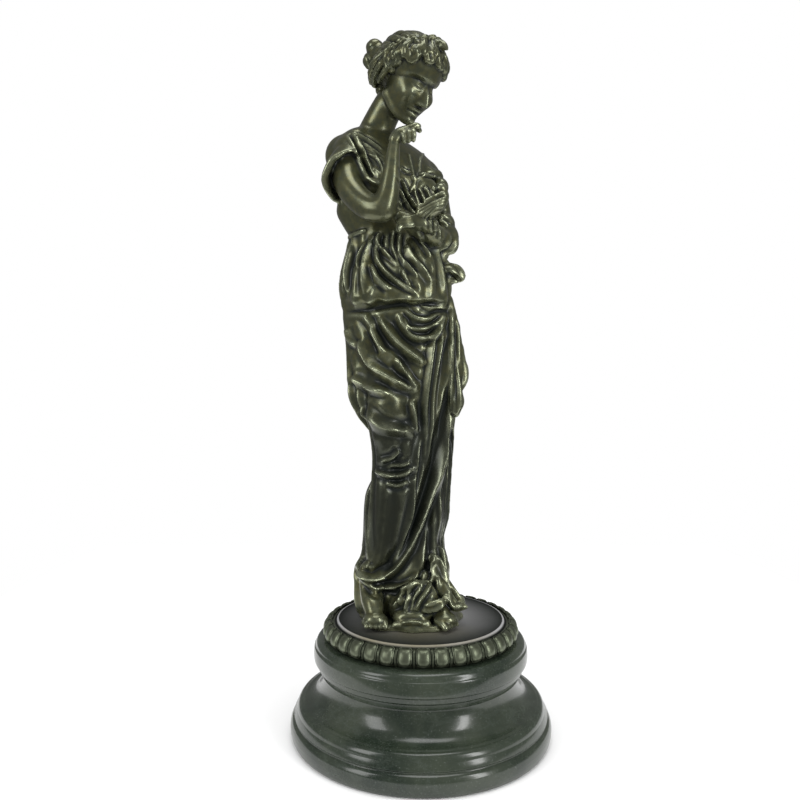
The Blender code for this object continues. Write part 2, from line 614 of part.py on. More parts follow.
def model_hair(clay, axes):
    clay.egg(head_point(*HAIR_CAP), HAIR_CAP_RADII, axes, 32)
    # thick locks swept back over the crown
    for i in range(9):
        spread = radians(-84 + 21 * i)
        knots = []
        for step in range(6):
            back = radians(48 + 24 * step)
            wave = 0.8 * sin(1.9 * step + 1.3 * i)
            reach = 1.0 + 0.025 * sin(2.1 * step + i)
            side = 19.0 * reach * sin(back) * sin(spread) + wave
            up = 7.0 + 16.6 * reach * sin(back) * cos(spread * 0.92)
            knots.append((*head_point(side, -1.6 + 21.0 * cos(back), up), 2.7 if step < 5 else 2.0))
        clay.limb(knots, sides=12)
    # comma-shaped locks over the forehead and temples
    for i in range(FRONT_LOCKS):
        turn = -98 + 196 / (FRONT_LOCKS - 1) * i + 2.5 * sin(i * 2.7)
        low = float(hairline(turn)) + 0.4
        way = 1 if i % 2 else -1
        thick = LOCK_RADIUS * (1 + 0.14 * sin(i * 3.1))
        turns = (turn - way * 1.5, turn - way * 2.5, turn, turn + way * 5.5)
        heights = (low + 8.0, low + 4.6, low + 1.4, low + 0.6)
        sizes = (0.95, 1.05, 1.0, 0.8)
        clay.limb([(*on_cap(t, u, 1.0), thick * r) for t, u, r in zip(turns, heights, sizes)], sides=12)
    # locks behind the temples, drawn back to the nape
    temple = (
        ((17, 6, 5, 2.4), (19.2, 1, 1, 2.4), (19, -2, -5, 2.2), (16.5, -6, -10, 1.7)),
        ((19, -2, 5, 2.6), (20.3, -6, -1, 2.5), (18.6, -9, -8, 2.4), (14.5, -12, -12.5, 1.8)),
        ((19, -8, 5, 2.8), (19.6, -12, -1, 2.7), (17, -15, -8, 2.5), (11.5, -18, -13, 1.9)),
        ((15, -14.5, 5, 3), (15.5, -17, -2, 2.8), (12.5, -18.5, -9, 2.6), (6.5, -20, -13.5, 2)),
    )
    for side in (-1, 1):
        for lock in temple:
            clay.limb([(*head_point(left * side, forward, up), r) for left, forward, up, r in lock], sides=14)
    nape = ((-18, 0, 7.5), (-20.5, -8, 6), (-19, -14, 4.5))
    clay.limb([(*head_point(0, forward, up), r) for forward, up, r in nape])
    # the knot at the back
    clay.egg(head_point(0, -40.6, 6.6), (6.6, 6.4, 5.8), axes, 18)
    clay.egg(head_point(0, -39.6, -1.4), (6.2, 5.4, 5.8), axes, 18)
    clay.limb([(*head_point(0, -22, 6), 8), (*head_point(0, -30, 5), 6), (*head_point(0, -37, 3.5), 5.5)])
    # the lock over the forehead that flicks forward
    flick = ((0.0, 8.0, 22.0, 4.6), (1.0, 13.0, 24.0, 3.8), (1.2, 16.5, 24.6, 2.6), (1.4, 19.6, 24.2, 1.2))
    clay.limb([(*head_point(left, forward, up), r) for left, forward, up, r in flick])


def fold(start, end, bow, width, height, step=0.0, side=0.0):
    """One fold from (across, z) to (across, z), bowed sideways by bow, as seen from a side.

    side is in degrees, 0 at the front and 90 at her left. Where step isn't 0, the cloth on the
    far side of the fold lies that much deeper.
    """
    return {
        "start": start, "end": end, "bow": bow, "width": width, "height": height, "step": step,
        "side": radians(side),
    }


def front_folds():
    """The folds that the front shows, above all the mantle drawn up to her left hip."""
    folds = []
    # nested loops hanging from the left hip
    for i in range(4):
        drop = 6.5 * i
        folds.append(fold((-10 - 2 * i, 203 - drop), (19, 203 - 1.5 * i), -7 - 3.2 * i, 2.0, 2.6))
    # slanting ridges across the right thigh
    folds += [
        fold((-16, 196), (6, 158), -4, 2.4, 3.0),
        fold((-29, 196), (2, 160), -5, 2.2, 2.6),
        fold((-41, 181), (-3, 144), -9, 2.6, 3.4),
        fold((-44, 156), (-24, 142), -4, 2.6, 2.6),
        fold((-37.5, 138), (-3, 122), -4, 3.0, 3.4, step=-2.0),
        fold((-25.5, 104), (-13, 111), -2, 1.8, 2.2),
        fold((-31, 98), (-5, 101), -3, 1.9, 2.6),
        fold((-22, 91), (-8, 91.5), -2, 1.8, 2.0),
    ]
    # long upright folds falling from the hip
    for i in range(4):
        folds.append(fold((19 - 1.2 * i, 200), (2 + 5.5 * i, 78 + 6 * i), -3.0, 1.8, 2.4))
    # the mantle's rolled edge, sweeping down to the right ankle
    folds += [
        fold((17, 150), (6, 72), 4, 2.4, 3.2, step=1.5),
        fold((6, 74), (-12, 38), 5, 2.6, 3.4, step=2.0),
        fold((-12, 38), (-42, 32), 8, 2.8, 3.6, step=2.0),
    ]
    # the chiton below it
    for i in range(4):
        folds.append(fold((-6 + 7.2 * i, 46 + 6 * i), (-12 + 9.6 * i, 8), 2 - i, 2.2, 1.8))
    # the bloused overfold, fanning from the girdle
    for i in range(9):
        folds.append(fold((-34 + 4.0 * i, 246), (-48 + 8.0 * i, 208), -3 - 0.9 * i, 1.7, 2.2))
    # the crease between the sleeve and the breast, and the neckline's folds
    folds.append(fold((-45, 312), (-31, 282), 1.5, 1.6, -2.4))
    for i in range(4):
        folds.append(fold((-42 + 2 * i, 312 - 3 * i), (-22 + i, 300 - 5 * i), -2, 1.0, 0.8))
    return folds


def back_folds():
    """Plainer folds for the sides that the front hides."""
    folds = []
    for i in range(3):
        # the mantle's swags across the back of the hips
        folds.append(fold((-17, 193 - 14 * i), (22, 187 - 16 * i), -7 - 2 * i, 3.4, 1.5, side=180))
    for i in range(6):
        folds.append(fold((-22 + 9 * i, 150 - 6 * i), (-26 + 11 * i, 6), 1.5 - i * 0.8, 2.2, 2.4, side=180))
    for i in range(5):
        # the chiton's back, drawn in at the girdle
        folds.append(fold((-17 + 8 * i, 298 - 2 * i), (-10 + 6 * i, 258), 1.5, 1.7, 1.5, side=180))
        folds.append(fold((-14 + 7 * i, 250), (-24 + 12 * i, 208), -1.5, 1.9, 2.2, side=180))
    for side in (90, 270):
        for i in range(4):
            folds.append(fold((-12 + 8 * i, 190 - 8 * i), (-14 + 9 * i, 8), 2, 2.0, 2.2, side=side))
            folds.append(fold((-9 + 6 * i, 250), (-16 + 10 * i, 208), 1.5, 1.8, 2.0, side=side))
    return folds


def eased_normals(mesh, rounds=6):
    """Vertex normals, each drawn towards its neighbours', so that small bumps don't turn them."""
    normals = np.array([v.vector for v in mesh.vertex_normals])
    starts, ends = np.array([edge.vertices[:] for edge in mesh.edges]).T
    count = len(normals)
    met = (np.bincount(starts, minlength=count) + np.bincount(ends, minlength=count))[:, None]
    for _ in range(rounds):
        total = np.empty_like(normals)
        for k in range(3):
            column = normals[:, k]
            total[:, k] = np.bincount(starts, column[ends], count)
            total[:, k] += np.bincount(ends, column[starts], count)
        normals = (normals + total / met) / 2
    return normals / np.linalg.norm(normals, axis=1)[:, None]


def carve(mesh, folds):
    """Raises each fold on the side of the surface that faces its own view."""
    count = len(mesh.vertices)
    points = np.empty(count * 3)
    mesh.vertices.foreach_get("co", points)
    points = points.reshape(-1, 3)
    normals = eased_normals(mesh)
    raised = np.zeros(count)
    for one in folds:
        c, s = cos(one["side"]), sin(one["side"])
        facing = np.clip((normals[:, 0] * s - normals[:, 1] * c) * 1.6, 0.0, 1.0)
        across = points[:, 0] * c + points[:, 1] * s
        flat = np.column_stack([across, points[:, 2]])
        start, end = np.array(one["start"], float), np.array(one["end"], float)
        beside = np.array((end[1] - start[1], start[0] - end[0]))
        beside /= np.linalg.norm(beside)
        t = np.linspace(0, 1, 13)[:, None]
        curve = start + (end - start) * t + beside * one["bow"] * 4 * t * (1 - t)
        width = one["width"]
        reach = 6 * width
        low, high = curve.min(0) - reach, curve.max(0) + reach
        near = np.nonzero(((flat > low) & (flat < high)).all(1) & (facing > 0))[0]
        best = np.full(len(near), 1e9)
        side = np.zeros(len(near))
        along = np.zeros(len(near))
        for i in range(len(curve) - 1):
            run = curve[i + 1] - curve[i]
            local = flat[near] - curve[i]
            share = np.clip(local @ run / (run @ run), 0, 1)
            away = local - share[:, None] * run
            distance = np.hypot(away[:, 0], away[:, 1])
            closer = distance < best
            best[closer] = distance[closer]
            side[closer] = (run[0] * away[:, 1] - run[1] * away[:, 0])[closer]
            along[closer] = (i + share[closer]) / (len(curve) - 1)
        taper = np.clip(np.minimum(along, 1 - along) * 7, 0.05, 1) ** 0.6
        beyond = (along <= 0) | (along >= 1)
        taper[beyond] *= np.exp(-((best[beyond] / width) ** 2))
        ridge = np.exp(-((best / width) ** 2)) - 0.4 * np.exp(-(((best - 2 * width) / (1.1 * width)) ** 2))
        sunk = one["step"] * (side < 0) * np.exp(-((best / (3.2 * width)) ** 2))
        sunk *= 1 - np.exp(-((best / width) ** 2))
        raised[near] += (one["height"] * ridge - sunk) * taper * facing[near]
    points += normals * raised[:, None]
    mesh.vertices.foreach_set("co", points.ravel())
    mesh.update()


def woman_figure(group, mat, floor):
    clay = Clay()
    model_drapery(clay)
    model_arms(clay)
    model_sleeves(clay)
    model_hands(clay)
    model_bird(clay)
    model_feet(clay)
    model_head(clay)
    cast = clay.fused("casting", group, CAST_VOXEL)
    carve(cast, front_folds() + back_folds())
    below = Matrix.Translation((0, 0, floor))
    cast.transform(below @ Matrix.Scale(UNIT, 4))
    thing = new_object("woman_figure", cast, group, mat)
    soften = thing.modifiers.new("soften", "SMOOTH")
    soften.factor = 0.5
    soften.iterations = 1
    count = sum(len(face.vertices) - 2 for face in cast.polygons)
    thin = thing.modifiers.new("facets", "DECIMATE")
    thin.ratio = FIGURE_TRIANGLES / count
    flat_seat(thing, group, floor)
    return thing


def flat_seat(thing, group, floor):
    """Replaces the live modifiers by their result, cut flat where it stands on the disc."""
    mesh = evaluated_mesh(thing)
    thing.modifiers.clear()
    shape = bmesh.new()
    shape.from_mesh(mesh)
    seat = floor + 0.8 * UNIT
    cut = bmesh.ops.bisect_plane(
        shape, geom=shape.verts[:] + shape.edges[:] + shape.faces[:],
        plane_co=(0, 0, seat), plane_no=(0, 0, -1), clear_outer=True,
    )
    rim = [edge for edge in cut["geom_cut"] if isinstance(edge, bmesh.types.BMEdge)]
    bmesh.ops.holes_fill(shape, edges=rim, sides=0)
    bmesh.ops.translate(shape, verts=shape.verts[:], vec=(0, 0, floor - seat))
    bmesh.ops.triangulate(shape, faces=shape.faces[:])
    shape.to_mesh(thing.data)
    shape.free()
    bpy.data.meshes.remove(mesh)


def main():
    clear_scene()
    parts = new_collection("woman_statue")
    cutters = new_collection("cutters")
    bronze = material("bronze", (0.105, 0.098, 0.055), 0.38, 1.0)
    base_bronze = material("base_bronze", (0.085, 0.082, 0.052), 0.42, 1.0)
    marble = material("marble", (0.035, 0.045, 0.038), 0.14, 0.0)

    profile, plinth_top = plinth_profile()
    turned("marble_plinth", profile, parts, marble, TURNED_STEPS)
    disc_top = gadrooned_base(parts, cutters, base_bronze, plinth_top + GAP)
    woman_figure(parts, bronze, disc_top + GAP)
    for thing in parts.objects:
        thing.data.shade_smooth()


main()
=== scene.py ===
from math import cos, pi, radians, sin, sqrt

import bmesh
import bpy
import numpy as np
from mathutils import Matrix, Vector
from mathutils.bvhtree import BVHTree


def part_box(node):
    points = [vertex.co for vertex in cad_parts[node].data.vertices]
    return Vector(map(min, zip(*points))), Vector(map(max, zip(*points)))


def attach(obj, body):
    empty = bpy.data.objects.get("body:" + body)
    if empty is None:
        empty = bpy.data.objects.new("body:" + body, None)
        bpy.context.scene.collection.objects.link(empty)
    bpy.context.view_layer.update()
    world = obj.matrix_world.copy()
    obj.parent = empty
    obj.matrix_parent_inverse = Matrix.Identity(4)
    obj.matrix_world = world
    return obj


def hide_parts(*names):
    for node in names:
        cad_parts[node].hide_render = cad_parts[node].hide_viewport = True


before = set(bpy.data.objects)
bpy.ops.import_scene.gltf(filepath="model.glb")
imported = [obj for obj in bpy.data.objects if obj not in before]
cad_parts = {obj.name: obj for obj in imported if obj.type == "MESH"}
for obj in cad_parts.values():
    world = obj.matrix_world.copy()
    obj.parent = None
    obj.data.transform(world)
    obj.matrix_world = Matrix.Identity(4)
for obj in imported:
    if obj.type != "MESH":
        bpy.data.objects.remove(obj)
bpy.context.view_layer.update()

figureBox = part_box("woman_figure")
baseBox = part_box("gadrooned_base")
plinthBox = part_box("marble_plinth")
figureUnits = 382.0
unit = (figureBox[1].z - figureBox[0].z) / figureUnits
floorOfFigure = figureBox[0].z


# camera of the photo: near, level, in front of the statue's knees
view = {"place": (-0.0134, -0.447, 0.2155), "focalPixels": 675.0, "pictureWidth": 800.0, "sensor": 36.0}


def addCamera(s):
    data = bpy.data.cameras.new("photoCamera")
    data.sensor_width = s["sensor"]
    data.lens = s["sensor"] * s["focalPixels"] / s["pictureWidth"]
    data.clip_start = 0.01
    camera = bpy.data.objects.new("photoCamera", data)
    camera.location = s["place"]
    camera.rotation_euler = (radians(90), 0, 0)
    bpy.context.scene.collection.objects.link(camera)
    bpy.context.scene.camera = camera


addCamera(view)


# shader maths as plain expressions
class Wire:
    def __init__(self, tree, socket):
        self.tree = tree
        self.socket = socket

    def maths(self, operation, *others, clamp=False):
        node = self.tree.nodes.new("ShaderNodeMath")
        node.operation = operation
        node.use_clamp = clamp
        for place, value in enumerate((self, *others)):
            plug(self.tree, node.inputs[place], value)
        return Wire(self.tree, node.outputs[0])

    def __add__(self, other):
        return self.maths("ADD", other)

    def __radd__(self, other):
        return self.maths("ADD", other)

    def __sub__(self, other):
        return self.maths("SUBTRACT", other)

    def __rsub__(self, other):
        return makeNode(self.tree, "ShaderNodeMath", {"operation": "SUBTRACT"}, i0=other, i1=self)

    def __mul__(self, other):
        return self.maths("MULTIPLY", other)

    def __rmul__(self, other):
        return self.maths("MULTIPLY", other)

    def __truediv__(self, other):
        return self.maths("DIVIDE", other)

    def __rtruediv__(self, other):
        return makeNode(self.tree, "ShaderNodeMath", {"operation": "DIVIDE"}, i0=other, i1=self)

    def clamp(self):
        return self.maths("ADD", 0.0, clamp=True)

    def ramp(self, low, high):
        span = (self - low) / (high - low)
        t = span.clamp()
        return t * t * (3.0 - 2.0 * t)


def plug(tree, socket, value):
    if isinstance(value, Wire):
        tree.links.new(value.socket, socket)
    elif hasattr(socket.default_value, "__len__") and len(socket.default_value) == 4 and len(value) == 3:
        socket.default_value = (*value, 1.0)
    else:
        socket.default_value = value


def makeNode(tree, kind, settings=None, out=0, **inputs):
    node = tree.nodes.new(kind)
    for name, value in (settings or {}).items():
        setattr(node, name, value)
    for name, value in inputs.items():
        plug(tree, node.inputs[int(name[1:]) if name[1:].isdigit() else name.replace("_", " ")], value)
    return Wire(tree, node.outputs[out])


class Paint:
    # one material and the wires it reads

    def __init__(self, name):
        self.material = bpy.data.materials.new(name)
        self.material.use_nodes = True
        self.tree = self.material.node_tree
        self.shader = self.tree.nodes["Principled BSDF"]
        self.place = self.add("ShaderNodeTexCoord", out=3)

    def add(self, kind, settings=None, out=0, **inputs):
        return makeNode(self.tree, kind, settings, out, **inputs)

    def own(self, name):
        return self.add("ShaderNodeAttribute", {"attribute_name": name}, out=2)

    def noise(self, scale, detail=4.0, roughness=0.55, stretch=None):
        where = self.place
        if stretch:
            where = self.add("ShaderNodeMapping", Vector=where, Scale=stretch)
        return self.add("ShaderNodeTexNoise", Vector=where, Scale=scale, Detail=detail, Roughness=roughness)

    def blend(self, share, first, second):
        node = self.tree.nodes.new("ShaderNodeMix")
        node.data_type = "RGBA"
        plug(self.tree, node.inputs[0], share)
        plug(self.tree, node.inputs[6], first)
        plug(self.tree, node.inputs[7], second)
        return Wire(self.tree, node.outputs[2])

    def bump(self, height, strength, distance):
        return self.add("ShaderNodeBump", Height=height, Strength=strength, Distance=distance)

    def set(self, **inputs):
        for name, value in inputs.items():
            plug(self.tree, self.shader.inputs[name.replace("_", " ")], value)
        return self.material


bronzeLook = {
    "hollow": (0.008, 0.012, 0.009),  # painted shade, green-black, in the folds and hollows
    "body": (0.094, 0.098, 0.050),  # olive brown
    "patina": (0.062, 0.084, 0.066),  # greener patches
    "rubbedAndHighlight": (0.40, 0.43, 0.29),  # painted highlight on the crests, partly real abrasion to the metal
    "warm": (0.20, 0.175, 0.048),
    "legShade": (0.030, 0.034, 0.024),  # painted shade over the legs, where less light falls
    "legs": (0.095, 0.125, 0.185, 0.235),  # heights where it comes in and goes out
    "head": (0.402, 0.418),
}


def figureBronze(s):
    paint = Paint("figure_bronze")
    hollow = paint.own("hollow")
    crest = paint.own("crest")
    broad = paint.noise(38.0, 3.0)
    fine = paint.noise(260.0, 5.0, 0.6)
    grain = paint.noise(1500.0, 3.0, 0.6)
    colour = paint.blend((broad * 1.6 - 0.45).clamp(), s["body"], s["patina"])
    colour = paint.blend(((fine * 1.5 + broad - 1.05) * 0.8).clamp(), colour, s["warm"])
    height = paint.add("ShaderNodeSeparateXYZ", out=2, Vector=paint.place)
    onLegs = height.ramp(*s["legs"][:2]) * (1.0 - height.ramp(*s["legs"][2:]))
    onHead = height.ramp(*s["head"])
    # painted shade: the legs darkened
    colour = paint.blend(onLegs * 0.95, colour, s["legShade"])
    # painted highlight on the crests, in part real abrasion, weaker on the legs and the hair
    wornAndHighlight = crest * (1.8 * fine - 0.15) * (1.0 - 0.45 * onLegs) * (1.0 - 0.65 * onHead)
    colour = paint.blend(wornAndHighlight.clamp(), colour, s["rubbedAndHighlight"])
    # painted shade: the hollows darkened to green-black
    colour = paint.blend((hollow * (0.85 + 0.6 * fine)).clamp(), colour, s["hollow"])
    roughness = 0.25 + 0.25 * hollow + 0.10 * fine - 0.06 * crest
    normal = paint.bump(fine * 0.6 + grain * 0.4, 0.22, 0.0004)
    metal = 0.80 - 0.35 * hollow
    return paint.set(Base_Color=colour, Metallic=metal, Roughness=roughness, Normal=normal, Coat_Weight=0.3,
                     Coat_Roughness=0.2)


baseLook = {
    "disc": (0.33, 0.327, 0.332),
    "discMiddle": (0.19, 0.168, 0.09),
    "rim": (0.080, 0.088, 0.058),
    "edge": (0.23, 0.26, 0.18),
    # painted shade for the grooves and hollows of the base
    "hollow": (0.008, 0.012, 0.008),
}


def baseBronze(s):
    paint = Paint("base_bronze")
    hollow = paint.own("hollow")
    crest = paint.own("crest")
    onRim = paint.own("rim")
    near = paint.own("middle")
    broad = paint.noise(45.0, 4.0)
    fine = paint.noise(420.0, 5.0, 0.6)
    colour = paint.blend((near * (0.5 + broad)).clamp(), s["disc"], s["discMiddle"])
    colour = paint.blend(onRim, colour, s["rim"])
    colour = paint.blend((crest * (0.6 + 0.5 * fine)).clamp(), colour, s["edge"])
    # painted shade: the hollows darkened
    colour = paint.blend(hollow.clamp(), colour, s["hollow"])
    roughness = 0.62 + 0.16 * fine - 0.30 * onRim + 0.1 * hollow
    normal = paint.bump(fine, 0.25, 0.0004)
    metal = 0.12 + 0.78 * onRim
    return paint.set(Base_Color=colour, Metallic=metal, Roughness=roughness, Normal=normal)


marbleLook = {
    "ground": (0.009, 0.016, 0.010),
    "cloud": (0.046, 0.056, 0.038),
    "speck": (0.13, 0.15, 0.13),
    "vein": (0.075, 0.092, 0.078),
}


def polishedMarble(s):
    paint = Paint("green_marble")
    broad = paint.noise(30.0, 5.0)
    cells = paint.add("ShaderNodeTexVoronoi", {"feature": "F1"}, Vector=paint.place, Scale=900.0)
    fine = paint.noise(800.0, 4.0, 0.7)
    veins = paint.noise(16.0, 6.0, 0.65, stretch=(1.0, 1.0, 2.4))
    colour = paint.blend((broad * 2.2 - 0.7).clamp(), s["ground"], s["cloud"])
    ridge = 1.0 - ((veins - 0.5) * (veins - 0.5) * 2600.0).clamp()
    colour = paint.blend((ridge * 0.25 * broad).clamp(), colour, s["vein"])
    colour = paint.blend(((fine - 0.56) * 5.0 * (1.0 - cells * 1.4)).clamp(), colour, s["speck"])
    roughness = 0.13 + 0.10 * broad + 0.06 * fine
    return paint.set(Base_Color=colour, Metallic=0.0, Roughness=roughness, Coat_Weight=0.2,
                     Coat_Roughness=0.06)


print("materials made")


# small tools for meshes
def readPoints(mesh):
    found = np.empty(len(mesh.vertices) * 3)
    mesh.vertices.foreach_get("co", found)
    return found.reshape(-1, 3)


def writePoints(mesh, points):
    mesh.vertices.foreach_set("co", points.ravel())
    mesh.update()


def readNormals(mesh):
    found = np.empty(len(mesh.vertices) * 3)
    mesh.vertex_normals.foreach_get("vector", found)
    return found.reshape(-1, 3)


def readEdges(mesh):
    found = np.empty(len(mesh.edges) * 2, np.int64)
    mesh.edges.foreach_get("vertices", found)
    return found.reshape(-1, 2)


def relax(values, edges, rounds, share=0.5):
    # moves each row of values towards the mean of its neighbours
    values = values.copy()
    count = len(values)
    a, b = edges[:, 0], edges[:, 1]
    degree = np.maximum(np.bincount(a, minlength=count) + np.bincount(b, minlength=count), 1)
    for _ in range(rounds):
        total = np.empty_like(values)
        for k in range(values.shape[1]):
            column = values[:, k]
            total[:, k] = np.bincount(a, column[b], count) + np.bincount(b, column[a], count)
        values += (total / degree[:, None] - values) * share
    return values


def writeValues(mesh, name, values):
    layer = mesh.attributes.new(name, "FLOAT", "POINT")
    layer.data.foreach_set("value", values.astype(np.float32))


def evaluatedMesh(thing):
    bpy.context.view_layer.update()
    graph = bpy.context.evaluated_depsgraph_get()
    return bpy.data.meshes.new_from_object(thing.evaluated_get(graph))


def addObject(name, mesh):
    thing = bpy.data.objects.new(name, mesh)
    bpy.context.scene.collection.objects.link(thing)
    return thing


def shownPiece(name, mesh, material, node):
    mesh.materials.clear()
    mesh.materials.append(material)
    mesh.shade_smooth()
    thing = addObject(name, mesh)
    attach(thing, "root")
    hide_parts(node)
    return thing


def smoothPath(points, perSpan=6):
    rows = np.asarray(points, float)
    padded = np.vstack([2 * rows[0] - rows[1], rows, 2 * rows[-1] - rows[-2]])
    found = []
    for i in range(len(rows) - 1):
        a, b, c, d = padded[i:i + 4]
        for t in np.arange(perSpan) / perSpan:
            bend = (2 * a - 5 * b + 4 * c - d) * t * t + (3 * b - a - 3 * c + d) * t ** 3
            found.append(0.5 * (2 * b + (c - a) * t + bend))
    found.append(rows[-1])
    return np.array(found)


class Clay:
    # closed shapes gathered in one mesh, then fused as in a casting

    def __init__(self):
        self.points, self.faces, self.count = [], [], 0

    def add(self, points, faces):
        self.points.append(np.asarray(points, float))
        self.faces += [[i + self.count for i in face] for face in faces]
        self.count += len(points)

    def addMesh(self, mesh):
        self.add(readPoints(mesh), [list(face.vertices) for face in mesh.polygons])

    def rings(self, rings):
        rings = np.asarray(rings, float)
        rows, sides = rings.shape[:2]
        faces = []
        for i in range(rows - 1):
            for j in range(sides):
                k = (j + 1) % sides
                faces.append([i * sides + j, i * sides + k, (i + 1) * sides + k, (i + 1) * sides + j])
        points = rings.reshape(-1, 3)
        low, high, last = len(points), len(points) + 1, (rows - 1) * sides
        points = np.vstack([points, rings[0].mean(0), rings[-1].mean(0)])
        for j in range(sides):
            k = (j + 1) % sides
            faces += [[low, k, j], [high, last + j, last + k]]
        self.add(points, faces)

    def limb(self, knots, sides=24, flat=1.0, across=(0.0, 1.0, 0.0), perSpan=6):
        path = smoothPath(knots, perSpan)
        places, radii = path[:, :3], path[:, 3]
        along = np.gradient(places, axis=0)
        along /= np.linalg.norm(along, axis=1)[:, None]
        dome = np.array((0.98, 0.87, 0.5))
        shrink = np.sqrt(1 - dome ** 2)
        before = [places[0] - along[0] * radii[0] * d for d in dome]
        after = [places[-1] + along[-1] * radii[-1] * d for d in dome[::-1]]
        places = np.vstack([before, places, after])
        radii = np.concatenate([radii[0] * shrink, radii, radii[-1] * shrink[::-1]])
        along = np.vstack([[along[0]] * 3, along, [along[-1]] * 3])
        turns = np.arange(sides) * 2 * pi / sides
        rings = []
        for place, radius, axis in zip(places, radii, along):
            thin = np.asarray(across, float)
            thin = thin - axis * thin.dot(axis)
            thin /= np.linalg.norm(thin)
            wide = np.cross(thin, axis)
            ring = np.outer(np.cos(turns), wide) + np.outer(np.sin(turns) * flat, thin)
            rings.append(place + ring * radius)
        self.rings(rings)

    def egg(self, place, radii, axes=None, segments=28):
        axes = np.eye(3) if axes is None else np.asarray(axes, float)
        turns = np.arange(segments) * 2 * pi / segments
        rings = []
        for i in range(1, segments // 2):
            tilt = -pi / 2 + pi * i / (segments // 2)
            ring = np.column_stack([np.cos(turns) * cos(tilt), np.sin(turns) * cos(tilt),
                                    np.full(segments, sin(tilt))])
            rings.append(np.asarray(place) + (ring * radii) @ axes)
        self.rings(rings)

    def asMesh(self, name):
        mesh = bpy.data.meshes.new(name)
        mesh.from_pydata(np.vstack(self.points).tolist(), [], self.faces)
        return mesh

    def fused(self, name, voxel):
        thing = addObject(name, self.asMesh(name))
        remesh = thing.modifiers.new("cast", "REMESH")
        remesh.mode = "VOXEL"
        remesh.voxel_size = voxel
        remesh.adaptivity = 0.0
        cast = evaluatedMesh(thing)
        old = thing.data
        bpy.data.objects.remove(thing)
        bpy.data.meshes.remove(old)
        print(name, "fused,", len(cast.vertices), "points")
        return cast


def cutAway(first, second, name):
    # first without second, both closed clay
    whole, tool = addObject(name, first.asMesh(name)), addObject(name + "Tool", second.asMesh(name))
    for thing in (whole, tool):
        shape = bmesh.new()
        shape.from_mesh(thing.data)
        bmesh.ops.recalc_face_normals(shape, faces=shape.faces)
        shape.to_mesh(thing.data)
        shape.free()
    cut = whole.modifiers.new("cut", "BOOLEAN")
    cut.operation = "DIFFERENCE"
    cut.solver = "EXACT"
    cut.object = tool
    result = evaluatedMesh(whole)
    bpy.data.objects.remove(whole)
    bpy.data.objects.remove(tool)
    return result


# her pose: the way the chest faces, and the tilt of the head
pose = {"facing": radians(30), "headPlace": (-7.8, -15.0, 349.0), "headTurn": radians(48),
        "headBow": radians(35)}


def turnedTo(point, angle):
    left, forward, up = point
    return np.array((left * cos(angle) + forward * sin(angle), left * sin(angle) - forward * cos(angle), up))


def headPoint(left, forward, up, s=pose):
    level = forward * cos(s["headBow"]) + up * sin(s["headBow"])
    height = up * cos(s["headBow"]) - forward * sin(s["headBow"])
    return np.array(s["headPlace"]) + turnedTo((left, level, height), s["headTurn"])


headAxes = np.array([headPoint(*row) - headPoint(0, 0, 0) for row in np.eye(3)])


def girth(sections, sides, rows, shape=None):
    turns = np.arange(sides) * 2 * pi / sides
    rings = []
    for z, x, y, wide, deep, turn in smoothPath(sections, rows):
        swell, lift = shape(turns, z) if shape else (0.0, 0.0)
        a, b = np.cos(turns) * (wide + swell), np.sin(turns) * (deep + swell)
        c, s = cos(radians(turn)), sin(radians(turn))
        rings.append(np.column_stack([x + a * c - b * s, y + a * s + b * c, np.full(sides, z) + lift]))
    return rings


def apart(turns, middle):
    return (turns - radians(middle) + pi) % (2 * pi) - pi


# rows are height, x, y, half width, half depth and turn in degrees
drapery = {
    "skirt": (
        (1.5, -13.0, 1.0, 30.5, 20.5, 0.0), (12.0, -12.7, 2.0, 33.0, 21.5, 0.0),
        (22.0, -12.4, 2.0, 33.4, 22.0, 0.0), (30.0, -12.9, 2.0, 33.2, 22.0, 0.0),
        (38.0, -11.2, 2.0, 30.4, 21.5, 0.0), (50.0, -11.4, 2.0, 28.7, 20.8, 0.0),
        (64.0, -9.8, 2.0, 30.0, 20.5, 0.0), (79.0, -8.7, 2.0, 30.0, 20.3, 0.0),
        (91.0, -5.8, 2.0, 28.0, 20.0, 0.0), (104.0, -4.2, 2.0, 27.2, 20.5, 0.0),
        (117.0, -4.0, 2.0, 27.0, 21.0, 0.0), (127.0, -7.7, 1.0, 30.5, 22.5, 0.0),
        (143.0, -12.0, 0.0, 34.9, 25.0, 0.0), (165.0, -12.4, 0.0, 36.4, 27.0, 0.0),
        (184.0, -14.2, 0.0, 36.2, 27.0, 0.0), (200.0, -16.0, 0.5, 35.8, 25.5, 0.0),
        (212.0, -16.0, 1.0, 33.5, 24.0, 0.0),
    ),
    "blouse": (
        (203.5, -15.3, 0.0, 32.6, 26.0, 4.0), (205.5, -15.3, -0.8, 34.0, 28.6, 4.0),
        (212.0, -15.3, -1.2, 34.2, 29.0, 6.0), (225.0, -16.0, -0.7, 33.8, 27.4, 8.0),
        (240.0, -15.8, 0.5, 31.2, 22.8, 10.0), (250.0, -17.5, 1.5, 28.8, 19.5, 12.0),
        (257.0, -18.8, 2.0, 28.4, 18.5, 14.0),
    ),
    "trunk": (
        (250.0, -19.0, 2.0, 28.0, 18.0, 14.0), (258.0, -21.0, 2.0, 31.5, 18.8, 17.0),
        (266.0, -22.6, 2.0, 33.8, 19.5, 20.0), (280.0, -21.5, 2.0, 32.5, 21.0, 28.0),
        (292.0, -20.5, 2.5, 33.5, 19.5, 30.0), (302.0, -21.0, 3.0, 34.0, 16.5, 30.0),
        (310.0, -24.0, 3.0, 29.5, 13.5, 30.0), (317.0, -28.5, 3.0, 19.0, 11.5, 30.0),
        (322.0, -31.0, 2.5, 12.0, 9.5, 30.0),
    ),
}


